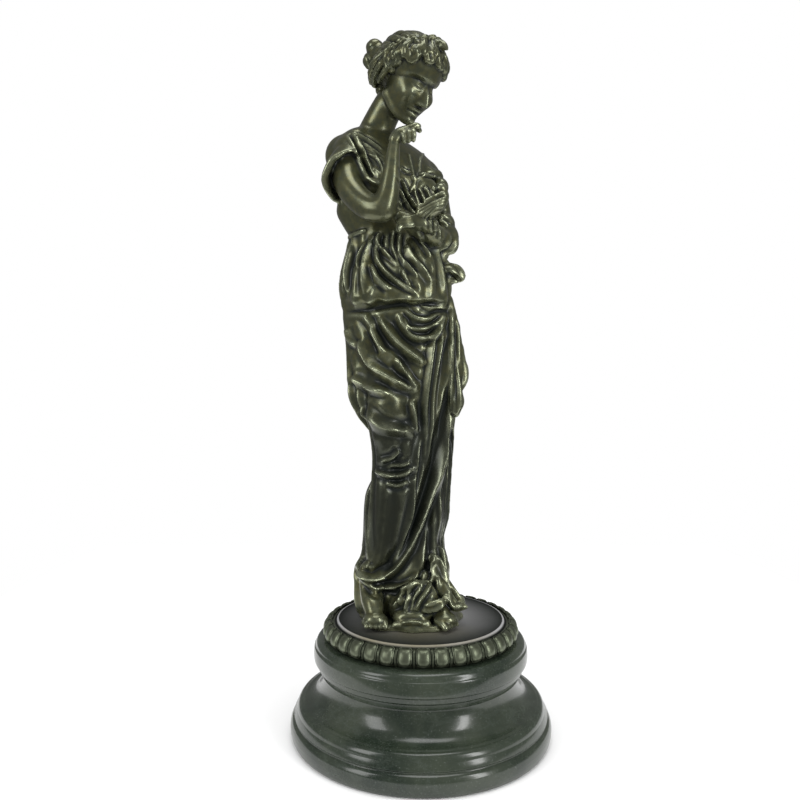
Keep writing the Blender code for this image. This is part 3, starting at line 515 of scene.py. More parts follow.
def skirtFolds(turns, z):
    swell = np.zeros_like(turns)
    for i in range(9):
        middle = -20 + i * 26 + 7 * sin(i * 2.3)
        wander = 6 * sin(z / 47 + i * 1.9)
        height = 2.8 + 1.1 * sin(i * 1.7)
        fade = min(1.0, max(0.35, (200 - z) / 80))
        swell += height * fade * np.exp(-(apart(turns, middle + wander) / 0.12) ** 2) - 0.5 * fade
    return swell, 0.0


def blouseFolds(turns, z):
    drop = min(1.0, max(0.0, (254 - z) / 44))
    swell = np.zeros_like(turns)
    for i in range(15):
        middle = i * 24 + 5 * sin(i * 2.9)
        bend = 9 * drop * sin(i * 1.3)
        swell += (0.8 + 1.1 * drop) * np.exp(-(apart(turns, middle + bend) / 0.10) ** 2)
    hem = max(0.0, 1 - (z - 203) / 9)
    return swell, hem * (0.9 * np.cos(13 * turns + 1.6 * np.sin(3 * turns)) + 0.6 * np.cos(7 * turns))


def modelDrapery(clay):
    clay.rings(girth(drapery["skirt"], 240, 12, skirtFolds))
    clay.rings(girth(drapery["blouse"], 240, 10, blouseFolds))
    clay.rings(girth(drapery["trunk"], 96, 6))
    for left, forward, up in ((-13.0, 13.5, 281.0), (13.0, 13.0, 281.0)):
        clay.egg(np.array((-20.0, 2.5, 0.0)) + turnedTo((left, forward, up), pose["facing"]),
                 (11.0, 10.0, 12.0))
    # the bent right leg under the cloth
    clay.limb([(-20, -10, 170, 17), (-20.5, -13.5, 138, 14.2), (-20.5, -11, 106, 9.5), (-24, -9, 60, 9),
               (-28, -8, 34, 8.5)])
    # the mantle drawn tight between the legs
    clay.limb([(-6, -10, 160, 10), (-7, -11.5, 138, 10), (-10, -10.5, 112, 9), (-12, -10, 80, 8.5),
               (-15, -9, 55, 8.2), (-19, -8, 38, 7.4)])
    # the mantle's end, hanging in two tongues at her left side
    clay.limb([(18.0, -4, 208, 4.0), (20.6, -6, 190, 5.4), (22.8, -6, 172, 6.2), (24.8, -6, 160, 6.2),
               (24.2, -6, 152.5, 4.4), (23.4, -6, 148, 2.4)], flat=0.62)
    clay.limb([(18, -9, 180, 4.0), (22, -9, 156, 4.8), (24.8, -8.6, 142, 4.6), (23.6, -8.6, 134.5, 3.2)],
              flat=0.7)
    # cloth pooled between the feet, and its tip at her left
    clay.egg((-5.0, -13.0, 10.0), (17.0, 14.0, 15.0))
    clay.limb([(9.5, -6, 42, 5), (14.5, -9, 27, 5.4), (20.5, -13, 16, 4.6), (27.0, -16, 12.5, 2.4)], flat=0.7)


def modelArms(clay):
    # shoulders
    clay.limb([(-33, 2, 315, 9.5), (-41.5, -6, 310, 10), (-47, -12, 302, 10.4)])
    clay.limb([(-27, 6, 313, 9), (-9, 13, 304.6, 10), (3.2, 17, 296.4, 11)])
    # right arm, bent so that the hand comes up to the chin
    clay.limb([(-46.5, -8, 302, 10), (-47.6, -15, 289, 9.2), (-45.4, -22.5, 277, 8.8),
               (-38.6, -29.5, 266.5, 8.4), (-31, -35, 260, 8.3), (-24, -38, 258.2, 8.2)])
    clay.limb([(-23, -38, 260, 8.3), (-20.7, -38.5, 267, 7.1), (-18.8, -39, 279, 5.6),
               (-17.6, -38.5, 291, 4.4), (-16.4, -37.5, 301, 3.5)])
    # left arm across the waist
    clay.limb([(4.2, 18, 295.6, 11), (8.2, 14, 280, 11.4), (11.4, 8, 263, 10.4), (14.6, 3, 252, 9)])
    clay.egg((16.8, 1.0, 249.6), (9.2, 9.0, 10.8))
    clay.limb([(15.5, 1, 247, 8.8), (6, -16, 249, 7.6), (-6, -28, 252, 6), (-13, -32, 255, 4.6)])
    # neck and head
    clay.limb([(-33.5, 4, 310, 13), (-29, 2, 322, 11.3), (-21.5, -3, 335, 10.2), (-13, -7, 346, 10)])
    clay.egg(headPoint(0, -3, 6), (17.4, 21.8, 20.5), headAxes, 40)
    clay.egg(headPoint(0, 5.5, -6), (14.4, 15.4, 19.0), headAxes, 40)
    clay.egg(headPoint(0, 13.0, -20.5), (6.2, 6.2, 5.6), headAxes)
    for side in (-1, 1):
        clay.egg(headPoint(7.5 * side, 11.5, -7.5), (6.2, 7.2, 7.2), headAxes)
        clay.limb([(*headPoint(11 * side, -1, -14), 3.6), (*headPoint(7.5 * side, 8, -20), 3.6),
                   (*headPoint(3 * side, 12.5, -22), 3.6)])
    clay.egg(headPoint(0, 3.5, -18.5), (7.5, 9.5, 5.5), headAxes)


def cup(clay, rings, wall, sides=72):
    # a hollow sleeve on rings of centre, normal and radius, open at the last one, its wall thickest outside
    frames = []
    for place, normal, radius in rings:
        axis = Vector(normal).normalized()
        wide = Vector((axis.y, -axis.x, 0)).normalized()
        frames.append((Vector(place), wide, axis.cross(wide), radius))
    loops = []
    for inward, order in ((0.0, frames), (1.0, frames[::-1])):
        for place, wide, high, radius in order:
            loop = []
            for turn in np.arange(sides) * 2 * pi / sides:
                out = radius * (1 + 0.03 * sin(3 * turn + 1) + 0.02 * sin(7 * turn))
                out -= inward * wall * (1 + 1.5 * max(0.0, cos(turn)))
                loop.append(place + wide * cos(turn) * out + high * sin(turn) * out * 1.06)
            loops.append([tuple(point) for point in loop])
    clay.rings(loops)


def modelSleeves(clay):
    # the right sleeve stands open round the arm
    clay.egg((-48.4, -6.0, 301.8), (14.0, 11.4, 14.2))
    cup(clay, (((-40.5, -3, 306), (0.45, -0.45, -0.75), 11.5), ((-43.8, -8, 299), (0.42, -0.6, -0.65), 14.4),
               ((-46.0, -13, 291), (0.40, -0.74, -0.52), 15.8),
               ((-47.2, -17.5, 284.5), (0.38, -0.80, -0.44), 16.4),
               ((-47.2, -20.0, 282.5), (0.38, -0.81, -0.42), 16.2)), 1.9)
    # the left sleeve, gathered in puffs down the arm
    for place, radii in (((4.4, 5, 293.5), (7.4, 6.5, 5.8)), ((11.0, 9, 292.4), (5.2, 6.0, 6.2)),
                         ((14.0, 5, 285.0), (5.4, 6.0, 6.4)), ((13.0, 1, 274.0), (6.0, 6.4, 6.4)),
                         ((15.4, 4, 269.0), (5.2, 6.0, 6.0)), ((3.0, -3, 283.0), (8.0, 6.0, 6.0)),
                         ((4.5, -7, 273.5), (8.0, 6.0, 6.5))):
        clay.egg(place, radii)
    for knots in (((14.0, -5, 262.6, 2.4), (18.0, -2, 262.4, 3.2), (20.6, 2, 260.4, 3.0),
                   (20.4, 3, 256.4, 2.6)),
                  ((13.6, -7, 259.6, 2.0), (16.6, -5, 257.6, 2.6), (19.0, -1, 254.6, 2.4))):
        clay.limb(knots)
    # a loop of cloth at the waist
    whole, hollow = Clay(), Clay()
    tilt = np.array(Matrix.Rotation(radians(24), 3, "Y").transposed())
    whole.egg((19.8, -4.0, 225.8), (9.0, 6.2, 6.2), tilt, 40)
    hollow.egg((22.4, -10.5, 222.2), (6.0, 8.0, 2.1), tilt, 40)
    clay.addMesh(cutAway(whole, hollow, "loop"))


def modelHands(clay):
    # right hand under the chin, its fingers curled
    clay.limb([(-16.5, -37.5, 300.5, 3.9), (-14.2, -37.2, 303.6, 4.0), (-10, -36.8, 305.8, 3.6),
               (-6.2, -36.4, 307.6, 3.0)])
    clay.limb([(-7.0, -37.8, 307.4, 2.3), (-4.2, -37.8, 308.8, 2.2), (-2.2, -37.4, 308.8, 1.8)])
    clay.limb([(-6.5, -34.8, 308.0, 2.3), (-3.4, -34.6, 308.8, 2.1), (-1.4, -34.4, 307.4, 1.6)])
    clay.egg((-10.0, -37.0, 304.0), (4.6, 3.4, 3.6))
    for i in range(3):
        x, z = -11.6 + 2.9 * i, 305.0 + 0.5 * i
        clay.limb([(x, -37.0, z, 1.9), (x + 0.4, -39.8, z - 1.2, 1.8), (x + 0.8, -40.6, z - 4.0, 1.6),
                   (x + 0.6, -38.8, z - 6.4, 1.3)],
                  sides=16)
    # left hand under the bird
    for i in range(3):
        clay.limb([(-6, -34.0, 253.5 - 1.9 * i, 1.7), (-11, -35.6, 253.2 - 2.1 * i, 1.5),
                   (-14.5, -34.8, 251.6 - 2.1 * i, 1.3)])
    clay.limb([(-12, -31, 255.0, 4.2), (-2, -31, 252.0, 4.6), (6, -29, 250.5, 5.0)])


bird = {"body": (5.4, -33.0, 260.6), "bodyRadii": (11.2, 5.6, 5.6), "bodyTilt": 30, "tail": 3, "feathers": 6}


def modelBird(clay, s):
    tilt = np.array(Matrix.Rotation(radians(-s["bodyTilt"]), 3, "Y").transposed())
    clay.egg(s["body"], s["bodyRadii"], tilt, 40)
    clay.limb([(10.0, -33, 263.0, 5.0), (12.2, -33, 267.0, 4.6), (11.8, -33.2, 270.8, 4.0)])
    clay.egg((11.2, -33.4, 271.6), (4.3, 4.2, 4.1))
    clay.limb([(8.2, -36.0, 271.2, 1.5), (6.0, -38.6, 270.2, 0.5)], sides=12)
    for i in range(s["tail"]):
        drop = 1.1 * i
        clay.limb([(-1, -34.5, 256 - drop, 1.2), (-6, -34.8, 254.6 - drop, 1.2),
                   (-11.5, -34.4, 254.2 - 1.3 * drop, 0.7)],
                  sides=12, flat=0.8)


def modelFeet(clay):
    sides = 72
    turns = np.arange(sides) * 2 * pi / sides
    edge = 1 + 0.05 * np.sin(5 * turns + 1) + 0.03 * np.sin(11 * turns)
    rings = []
    for height, scale in ((-0.4, 1.0), (1.8, 1.0), (3.0, 0.965), (3.6, 0.90)):
        x, y = -7 + 33 * scale * edge * np.cos(turns), -6 + 27.5 * scale * edge * np.sin(turns)
        rings.append(np.column_stack([x, y, np.full(sides, height)]))
    clay.rings(rings)
    right = {"ankle": (-32.0, -13.0, 20.0), "ball": (-29.2, -25.0, 7.6), "ahead": (0.12, -0.99),
             "spread": 2.9}
    left = {"ankle": (6.0, -13.0, 15.0), "ball": (14.0, -24.5, 7.2), "ahead": (0.60, -0.80), "spread": 2.7}
    for foot in (right, left):
        ankle, ball = np.array(foot["ankle"]), np.array(foot["ball"])
        heel = ankle + (ankle - ball) * (0.3, 0.3, -0.75)
        clay.limb([(*(ankle + (0, 2, 12)), 8.0), (*ankle, 7.2), (*((ankle + ball) / 2), 7.0), (*ball, 5.4)])
        clay.limb([(*heel, 5.5), (*((heel + ball) / 2), 5.6), (*ball, 4.8)])
        ahead = np.array((*foot["ahead"], 0.0))
        clay.egg(ball + ahead * 1.6 - (0, 0, 1.2), (7.4, 6.2, 4.6))
        beside = np.array((-ahead[1], ahead[0], 0.0))
        inner = 1 if foot is right else -1
        for i in range(5):
            # the great toe lies on the inner side
            rank = (i - 2) * inner
            start = ball + beside * (i - 2) * foot["spread"] - (0, 0, 1.6)
            reach = 7.0 + 0.4 * rank
            thick = 2.2 if rank == 2 else 1.75 + 0.08 * rank
            tip = start + ahead * reach - (0, 0, 2.6)
            clay.limb([(*start, thick * 1.1), (*(start + ahead * reach * 0.62 - (0, 0, 0.9)), thick),
                       (*tip, thick * 0.92)],
                      sides=14)
    # the hem, pooled on the ground and over the left foot
    clay.egg((-6.0, -24.0, 6.5), (12.0, 8.0, 7.0))
    clay.egg((-4.0, -19.0, 14.0), (12.0, 9.0, 12.0))
    clay.egg((-2.0, -22.0, 16.0), (13.0, 8.0, 14.0))
    for knots in (((-16.0, -28.5, 3.0, 2.6), (-6.0, -30.5, 3.2, 3.6), (3.0, -29.0, 4.0, 3.0)),
                  ((-1.5, -27.0, 14.8, 2.2), (5.0, -28.5, 15.2, 3.2), (11.5, -27.5, 16.6, 3.0),
                   (15.5, -25.5, 18.0, 1.8)),
                  ((8.6, -12, 40, 4.0), (11.4, -16.5, 28, 4.2), (16.0, -19.5, 19, 4.2),
                   (21.5, -20.5, 12.5, 3.6), (28.0, -20.0, 12.0, 1.8))):
        clay.limb(knots, sides=20, flat=0.8)


def faceRelief(mesh):
    # a plain, even face, raised on the front of the head as heights over its own left and up
    points = readPoints(mesh)
    local = (points - headPoint(0, 0, 0)) @ np.linalg.inv(headAxes)
    aside, ahead, high = np.abs(local[:, 0]), local[:, 1], local[:, 2]
    here = np.nonzero((ahead > 3) & (ahead < 27) & (aside < 16) & (high > -26) & (high < 12.5))[0]
    left, forward, up = local[here].T
    side = np.abs(left)

    def hill(height, u, wide, tall, at=0.0):
        out = left if at == 0.0 else side - at
        return height * np.exp(-((out / wide) ** 2) - (((up - u) / tall) ** 2))

    eye = (side - 6.4) / 3.5
    open_ = np.clip(1 - eye ** 2, 0, 1)
    raised = hill(-3.0, -0.9, 4.4, 3.3, 6.4) + hill(-1.7, 0.4, 3.2, 2.4)
    raised += hill(0.9, 3.6, 5.4, 1.3, 6.6)
    raised += hill(2.3, -1.5, 3.0, 2.2, 6.4)
    # lid edge, the crease over it and the lower lid
    edge = -2.0 - 0.9 * open_
    raised -= 0.75 * np.exp(-((up - edge) / 0.42) ** 2) * np.sqrt(open_)
    raised += 0.35 * np.exp(-((up - edge - 0.9) / 0.5) ** 2) * np.sqrt(open_)
    raised += 0.4 * np.exp(-((up - edge + 0.9) / 0.45) ** 2) * np.sqrt(open_)
    raised -= 0.55 * np.exp(-((up - 0.5 - 0.8 * open_) / 0.45) ** 2) * np.sqrt(open_)
    # nose
    run = np.clip((0.6 - up) / 10.6, 0, 1)
    under = np.clip((up + 12.6) / 1.5, 0, 1)
    bridge = (0.6 + 4.9 * run ** 1.1) * np.exp(-((left / (1.5 + 1.1 * run)) ** 2))
    raised += bridge * under * (up < 3) * np.clip((3 - up) / 3, 0, 1)
    raised += hill(1.7, -10.7, 1.15, 1.5, 2.9) + hill(-0.8, -12.9, 3.0, 0.8)
    # lips, the line between them and the hollow over the chin
    raised += hill(1.35, -15.2, 4.2, 1.0) - hill(0.35, -14.2, 0.8, 1.2)
    line = -16.6 + 0.28 * np.cos(left * 0.9)
    raised -= 1.0 * np.exp(-((up - line) / 0.42) ** 2) * np.clip(1.15 - (left / 5.4) ** 2, 0, 1)
    raised += hill(1.35, -18.0, 3.3, 1.0) - hill(0.7, -16.6, 0.9, 0.9, 5.4)
    raised += hill(-1.0, -20.4, 4.4, 1.1) + hill(0.7, -23.5, 4.0, 2.4)
    raised += hill(0.7, -6.0, 4.0, 3.4, 10.0)
    facing = np.clip((forward - 4) / 6, 0, 1) * np.clip((12.5 - up) / 3, 0, 1)
    points[here] += np.outer(raised * facing, headAxes[1])
    writePoints(mesh, points)


hair = {
    "cap": (0.0, -1.6, 8.0), "capRadii": (20.0, 21.4, 16.4), "locks": 15, "lockRadius": 2.35, "strands": 11,
    "lineTurns": (0, 30, 55, 75, 90, 120, 180), "lineHeights": (12.5, 11.5, 7.0, 0.5, -5.0, -13.0, -16.0),
}


def hairline(turn, s=hair):
    return np.interp(np.abs(turn), s["lineTurns"], s["lineHeights"])


def onCap(turn, up, lift, s=hair):
    # a head point on the cap of hair, turn in degrees from the front towards her left
    (x, y, z), (a, b, c) = s["cap"], s["capRadii"]
    level = sqrt(max(0.15, 1 - ((up - z) / c) ** 2))
    t = radians(turn)
    return headPoint(x + (a * level + lift) * sin(t), y + (b * level + lift) * cos(t), up + lift * 0.3)


def modelHair(clay, s):
    clay.egg(headPoint(*s["cap"]), s["capRadii"], headAxes, 48)
    # thick locks swept back over the crown
    for i in range(9):
        spread = radians(-84 + 21 * i)
        knots = []
        for step in range(6):
            back = radians(48 + 24 * step)
            wave = 0.8 * sin(1.9 * step + 1.3 * i)
            reach = 1.0 + 0.025 * sin(2.1 * step + i)
            side = 19.0 * reach * sin(back) * sin(spread) + wave
            up = 7.0 + 16.6 * reach * sin(back) * cos(spread * 0.92)
            knots.append((*headPoint(side, -1.6 + 21.0 * cos(back), up), 2.6 if step < 5 else 2.0))
        clay.limb(knots, sides=14)
    # comma-shaped locks over the forehead and temples, in two rows
    for row in range(2):
        for i in range(s["locks"] - row):
            turn = -98 + 196 / (s["locks"] - 1) * (i + 0.5 * row) + 2.5 * sin(i * 2.7)
            low = float(hairline(turn)) + 0.4 + 4.4 * row
            way = 1 if (i + row) % 2 else -1
            thick = s["lockRadius"] * (1 + 0.14 * sin(i * 3.1 + row))
            lift = 0.6 + 0.9 * row
            knots = ((turn - way * 1.5, low + 8.0, lift - 0.6, 0.9), (turn - way * 2.5, low + 4.6, lift, 1.0),
                     (turn, low + 1.4, lift + 0.4, 0.9), (turn + way * 5.5, low + 0.6, lift + 0.3, 0.72),
                     (turn + way * 7.0, low + 3.0, lift + 0.5, 0.5),
                     (turn + way * 4.0, low + 4.0, lift + 0.9, 0.36))
            clay.limb([(*onCap(t, u, f), thick * r) for t, u, f, r in knots], sides=12,
                      across=(0.3, 0.5, 0.8), perSpan=4)
    # locks behind the temples, drawn back to the nape
    for side in (-1, 1):
        for knots in (((17.0, 6, 5, 2.2), (19.2, 1, 1, 2.2), (19.0, -2, -5, 2.0), (16.5, -6, -10, 1.5)),
                      ((19.0, -2, 5, 2.4), (20.3, -6, -1, 2.3), (18.6, -9, -8, 2.2), (14.5, -12, -12.5, 1.6)),
                      ((19.0, -8, 5, 2.6), (19.6, -12, -1, 2.5), (17.0, -15, -8, 2.3), (11.5, -18, -13, 1.7)),
                      ((15.0, -14.5, 5, 3.0), (15.5, -17, -2, 2.8), (12.5, -18.5, -9, 2.6),
                       (6.5, -20, -13.5, 2.0))):
            clay.limb([(*headPoint(l * side, f, u), r) for l, f, u, r in knots], sides=14)
    clay.limb([(*headPoint(0, -18, 0), 7.5), (*headPoint(0, -20.5, -8), 6), (*headPoint(0, -19, -14), 4.5)])
    # the knot at the back
    clay.egg(headPoint(0, -40.6, 6.6), (6.6, 6.4, 5.8), headAxes, 24)
    clay.egg(headPoint(0, -39.6, -1.4), (6.2, 5.4, 5.8), headAxes, 24)
    clay.limb([(*headPoint(0, -22, 6), 8), (*headPoint(0, -30, 5), 6), (*headPoint(0, -37, 3.5), 5.5)])
    # the lock over the forehead that flicks forward
    clay.limb([(*headPoint(0, 8, 22), 4.6), (*headPoint(1, 13, 24), 3.8), (*headPoint(1.2, 16.5, 24.6), 2.6),
               (*headPoint(1.4, 19.6, 24.2), 1.0)])


def fold(path, width, height, step=0.0, side=0.0):
    # a fold along (across, z) points as seen from a side in degrees, where step sinks the cloth beyond it
    return {"path": path, "width": width, "height": height, "step": step, "side": radians(side)}


def mantleFolds():
    return [
        # slanting across the right thigh
        fold([(-27.6, 194.6), (-16.7, 181), (-8.8, 173.7), (3.5, 165)], 2.4, 3.4),
        fold([(-37.6, 197.5), (-31.9, 190.3), (-27.6, 181), (-23.2, 171.5)], 2.0, 2.2),
        fold([(-32.6, 188), (-28.5, 180), (-24.7, 173)], 1.5, 1.6),
        fold([(-39.8, 181), (-36.9, 173), (-31.9, 165), (-23.2, 158.5), (-13.1, 152.8), (-2.3, 149.2)],
             2.5, 3.6),
        fold([(-16, 169.4), (-12.4, 162.9), (-8.1, 157.8), (-2.3, 150.3)], 1.8, 2.4),
        fold([(-48.5, 190.3), (-47, 183), (-42, 176.6)], 1.7, 2.0),
        fold([(-45.6, 158.5), (-39.1, 154.2), (-32.6, 150), (-20.3, 147)], 2.2, 2.4),
        fold([(-37.5, 138.5), (-32.6, 132.6), (-24.7, 126.8), (-13.1, 124), (-3.8, 123.2)], 2.6, 3.0,
             step=-2.2),
        fold([(-6.6, 143.4), (-3.8, 132.6), (-1.6, 121)], 1.8, 1.6),
        # loops hanging from the left hip
        fold([(-14.6, 197.5), (-11.7, 189.5), (-5.9, 183), (2.7, 181.6), (10.7, 186), (15.7, 197.5)],
             1.7, 2.6),
        fold([(-10.6, 195.3), (-8.1, 188.8), (-0.9, 187), (7, 189.5), (15, 197.5)], 1.3, 2.0),
        fold([(-10.2, 199), (-3.8, 194.6), (4.9, 194), (12.8, 199)], 1.3, 1.9),
        fold([(-0.9, 202.5), (5.6, 201.5), (17.9, 203)], 1.2, 1.6),
        # long upright folds from the hip
        fold([(15.7, 197.5), (8.5, 181.6), (5.6, 161.4), (3.5, 140), (2.7, 104)], 1.8, 2.4),
        fold([(17.9, 197.5), (12.8, 176), (9.2, 154), (7.1, 132.6), (5.6, 104)], 1.5, 2.0),
        fold([(19.3, 199), (18.6, 176), (17.9, 154), (17.2, 125), (14.3, 99)], 1.6, 2.4),
        fold([(20.8, 201), (20.4, 168), (20, 132), (20.4, 104)], 1.3, 1.8),
        # about the knee
        fold([(-13.5, 111.5), (-18, 106.5), (-25.5, 104)], 1.5, 1.9),
        fold([(-6.5, 103), (-12.0, 101.0), (-20.0, 101.5)], 1.3, 1.5),
        fold([(-4.5, 100), (-11.0, 95.5), (-20, 94.5), (-31, 98)], 1.7, 2.4),
        fold([(-8.0, 91.5), (-15.0, 88.5), (-22.0, 90.5)], 1.5, 1.8),
        # the rolled edge, sweeping down to the right ankle
        fold([(14.7, 118), (12.3, 97.7), (6.7, 79.3), (-1.3, 60), (-10.1, 43.2), (-19, 32.8), (-30.2, 28.8),
              (-39, 31.2), (-42.6, 36.8)], 2.2, 3.6, step=2.6),
        fold([(2.7, 101.7), (-6.1, 69.6), (-12.5, 47.2), (-19, 36.8)], 1.8, 1.8),
        fold([(-39.8, 28), (-33.4, 24.8), (-23.8, 22.4), (-12.5, 24), (-1.3, 30.4)], 1.5, 1.9, step=1.2),
    ]


def chitonFolds():
    # finer cloth: the overfold that fans from the girdle, the foot of the dress, the neck
    folds = [
        fold([(-46.1, 243), (-49, 226), (-49.7, 211.5)], 1.9, 2.2),
        fold([(-35.3, 244), (-40.3, 234.5), (-41, 226)], 1.1, 1.5),
        fold([(-29.5, 247.5), (-36, 229.5), (-35.6, 208.6)], 2.1, 2.6),
        fold([(-26.6, 249), (-28.4, 232.4), (-19.4, 219.4), (-2.1, 208)], 1.4, 2.6),
        fold([(-31.7, 228.8), (-28, 218.7), (-19.4, 210.7)], 1.7, 2.2),
        fold([(-25.2, 249), (-27.4, 241.7), (-14.4, 226)], 1.1, 1.8),
        fold([(-17.6, 249.7), (-18, 239.6), (-14, 226.6)], 1.0, 1.7),
        fold([(-13.4, 249.7), (-13.4, 233), (-1.4, 219.4)], 1.3, 2.2),
        fold([(-2.8, 247.5), (0.8, 241.7), (6.5, 233.8)], 1.1, 1.4),
        fold([(-10, 240.3), (-5, 231), (7.2, 216.5)], 2.0, 2.4),
        fold([(-12.2, 224.4), (-10, 217.9), (-6.4, 213)], 1.2, 1.5),
        # foot of the dress
        fold([(-10.9, 23.4), (-14.0, 17.0), (-18.0, 12.0)], 1.2, 1.5),
        fold([(-7.0, 25.0), (-9.5, 17.0), (-10.2, 11.2)], 1.2, 1.6),
        fold([(0.3, 26.4), (-4.6, 20.2), (-6.5, 12.0)], 1.2, 1.6),
        fold([(6.5, 40.0), (7.0, 29.5), (-1.0, 19.0), (-4.0, 12.0)], 1.3, 2.2, step=1.2),
        fold([(-13.0, 5.4), (-6.0, 6.4), (1.0, 5.6)], 1.0, 1.1),
        fold([(0.5, 12.0), (7.0, 12.4), (14.5, 16.4)], 1.1, 1.3),
        fold([(16.0, 21.0), (20.0, 13.0), (26.0, 13.5)], 1.2, 1.2),
        fold([(19.0, 88), (19.0, 60), (20.6, 40), (24.0, 20)], 1.9, 1.1),
        fold([(14.6, 90), (14.2, 60), (15.8, 38), (18.6, 17)], 1.9, 1.0),
        fold([(9.4, 76), (8.6, 54), (9.4, 36), (10.6, 22)], 1.9, 0.9),
        fold([(3.6, 62), (2.4, 48), (0.4, 34)], 1.8, 0.9),
        # neckline
        fold([(-44.3, 313.2), (-36.2, 310.3), (-24.5, 302.2)], 1.0, 1.0),
        # the sleeve's edge over the arm, and the crease beside it
        fold([(-45.2, 312.5), (-40.9, 304), (-36.5, 294), (-31.0, 282)], 1.1, -2.2),
        fold([(-43.5, 312.0), (-39.0, 304), (-34.5, 294), (-29.5, 283)], 0.9, 1.3),
        fold([(-39.0, 303), (-33, 293), (-26, 283)], 1.3, 0.8),
        fold([(-34.0, 283), (-30, 279.5), (-25, 277.5)], 1.3, 0.8),
        # breast and waist beside the forearm
        fold([(-12.5, 291), (-9.5, 289.2), (-6.5, 289.5)], 0.8, 1.2),
        fold([(-12.6, 284), (-9.5, 277), (-7.0, 272)], 0.9, 1.6),
        fold([(-13.5, 277), (-10.5, 271), (-7.5, 265)], 0.9, 1.6),
        fold([(-8.5, 272), (-4.5, 267), (1.5, 262)], 1.0, -2.2),
        fold([(2.5, 281), (5.5, 275), (7.5, 269)], 1.0, 1.4),
        fold([(-1.0, 280), (2.0, 273), (4.0, 266)], 1.0, 1.4),
        fold([(-1.0, 289), (5, 289.6), (11, 291.5)], 0.8, 1.5),
        fold([(14.0, 261.0), (17.2, 259.8), (19.8, 257.0)], 0.9, -1.4),
        # the left sleeve's gathers over the elbow
        fold([(5.2, 253), (5.6, 247)], 0.8, 1.0),
        fold([(8.0, 252), (8.6, 246)], 0.8, 1.0),
        fold([(11.0, 251), (11.8, 245)], 0.8, 1.0),
        # under the blouse's hem
        fold([(-49, 200.5), (-40, 199.6), (-28, 200.2), (-16, 202), (-4, 203), (8, 202)], 1.5, -1.0),
    ]
    for i in range(5):
        folds.append(fold([(-42 + 1.5 * i, 309 - 2.2 * i), (-33 + 1.5 * i, 304.5 - 2.6 * i),
                           (-24, 297 - 3.2 * i)], 0.6, 0.6))
    return folds


def featherFolds(s):
    # the wing's feathers, side by side from the shoulder of the wing to its tip
    folds = [fold([(14.6, 268.4), (8.0, 267.4), (1.0, 262.6), (-3.6, 258.6)], 0.9, 0.9)]
    for i in range(s["feathers"]):
        low = 1.7 * i
        folds.append(fold([(14.8 - 0.3 * i, 266.0 - low), (7.6 - 0.3 * i, 262.8 - low),
                           (-3.0 + 1.6 * i, 257.4 - 0.9 * low)], 0.55, 0.8))
    return folds


def backFolds():
    folds = []
    for i in range(3):
        folds.append(fold([(-31, 196 - 15 * i), (-4, 178 - 17 * i), (31, 192 - 15 * i)], 3.8, 1.5, side=180))
    for i in range(6):
        folds.append(fold([(-22 + 9 * i, 150 - 6 * i), (-25 + 10 * i, 70), (-26 + 11 * i, 6)], 2.0, 2.6,
                          side=180))
    for i in range(5):
        high = 302 - 9 * abs(i - 2.4)
        folds.append(fold([(-17 + 8 * i, high), (-13 + 7 * i, 276), (-10 + 6 * i, 250)], 2.2, 1.0, side=180))
        folds.append(fold([(-14 + 7 * i, 250), (-18 + 9 * i, 230), (-24 + 12 * i, 208)], 1.7, 2.4, side=180))
    for side in (90, 270):
        for i in range(4):
            foot = 8 if i < 2 else 38
            folds.append(fold([(-12 + 8 * i, 190 - 8 * i), (-15 + 8 * i, 90), (-14 + 9 * i, foot)], 1.8, 1.9,
                              side=side))
            folds.append(fold([(-9 + 6 * i, 250), (-12 + 8 * i, 230), (-16 + 10 * i, 208)], 1.8, 1.5,
                              side=side))
    return folds


def carve(mesh, folds, scale=1.0):
    points = readPoints(mesh)
    normals = relax(readNormals(mesh), readEdges(mesh), 10)
    normals /= np.linalg.norm(normals, axis=1)[:, None] + 1e-9
    raised = np.zeros(len(points))
    for one in folds:
        c, s = cos(one["side"]), sin(one["side"])
        curve = smoothPath(one["path"], 5)
        width = one["width"]
        flat = np.column_stack([points[:, 0] * c + points[:, 1] * s, points[:, 2]])
        low, high = curve.min(0) - 6 * width, curve.max(0) + 6 * width
        towards = normals[:, 0] * s - normals[:, 1] * c
        near = np.nonzero(((flat > low) & (flat < high)).all(1) & (towards > 0))[0]
        facing = np.clip(towards[near] * 1.8, 0.0, 1.0)
        best = np.full(len(near), 1e9)
        side, along = np.zeros(len(near)), np.zeros(len(near))
        for i in range(len(curve) - 1):
            run = curve[i + 1] - curve[i]
            local = flat[near] - curve[i]
            share = np.clip(local @ run / (run @ run), 0, 1)
            away = local - share[:, None] * run
            distance = np.hypot(away[:, 0], away[:, 1])
            closer = distance < best
            best[closer] = distance[closer]
            side[closer] = (run[0] * local[:, 1] - run[1] * local[:, 0])[closer]
            along[closer] = (i + share[closer]) / (len(curve) - 1)
        taper = np.clip(np.minimum(along, 1 - along) * 6, 0.02, 1) ** 0.7
        beyond = (along <= 0) | (along >= 1)
        taper[beyond] *= np.exp(-((best[beyond] / width) ** 2))
        crest = 0.55 * np.exp(-((best / width) ** 2)) + 0.45 * np.exp(-best / (0.7 * width))
        valley = 0.42 * np.exp(-(((best - 2.1 * width) / (1.1 * width)) ** 2))
        sunk = one["step"] * (side < 0) * np.exp(-((best / (4 * width)) ** 2))
        sunk *= 1 - np.exp(-((best / width) ** 2))
        raised[near] += (one["height"] * (crest - valley) - sunk) * taper * facing
    writePoints(mesh, points + normals * raised[:, None] * scale)


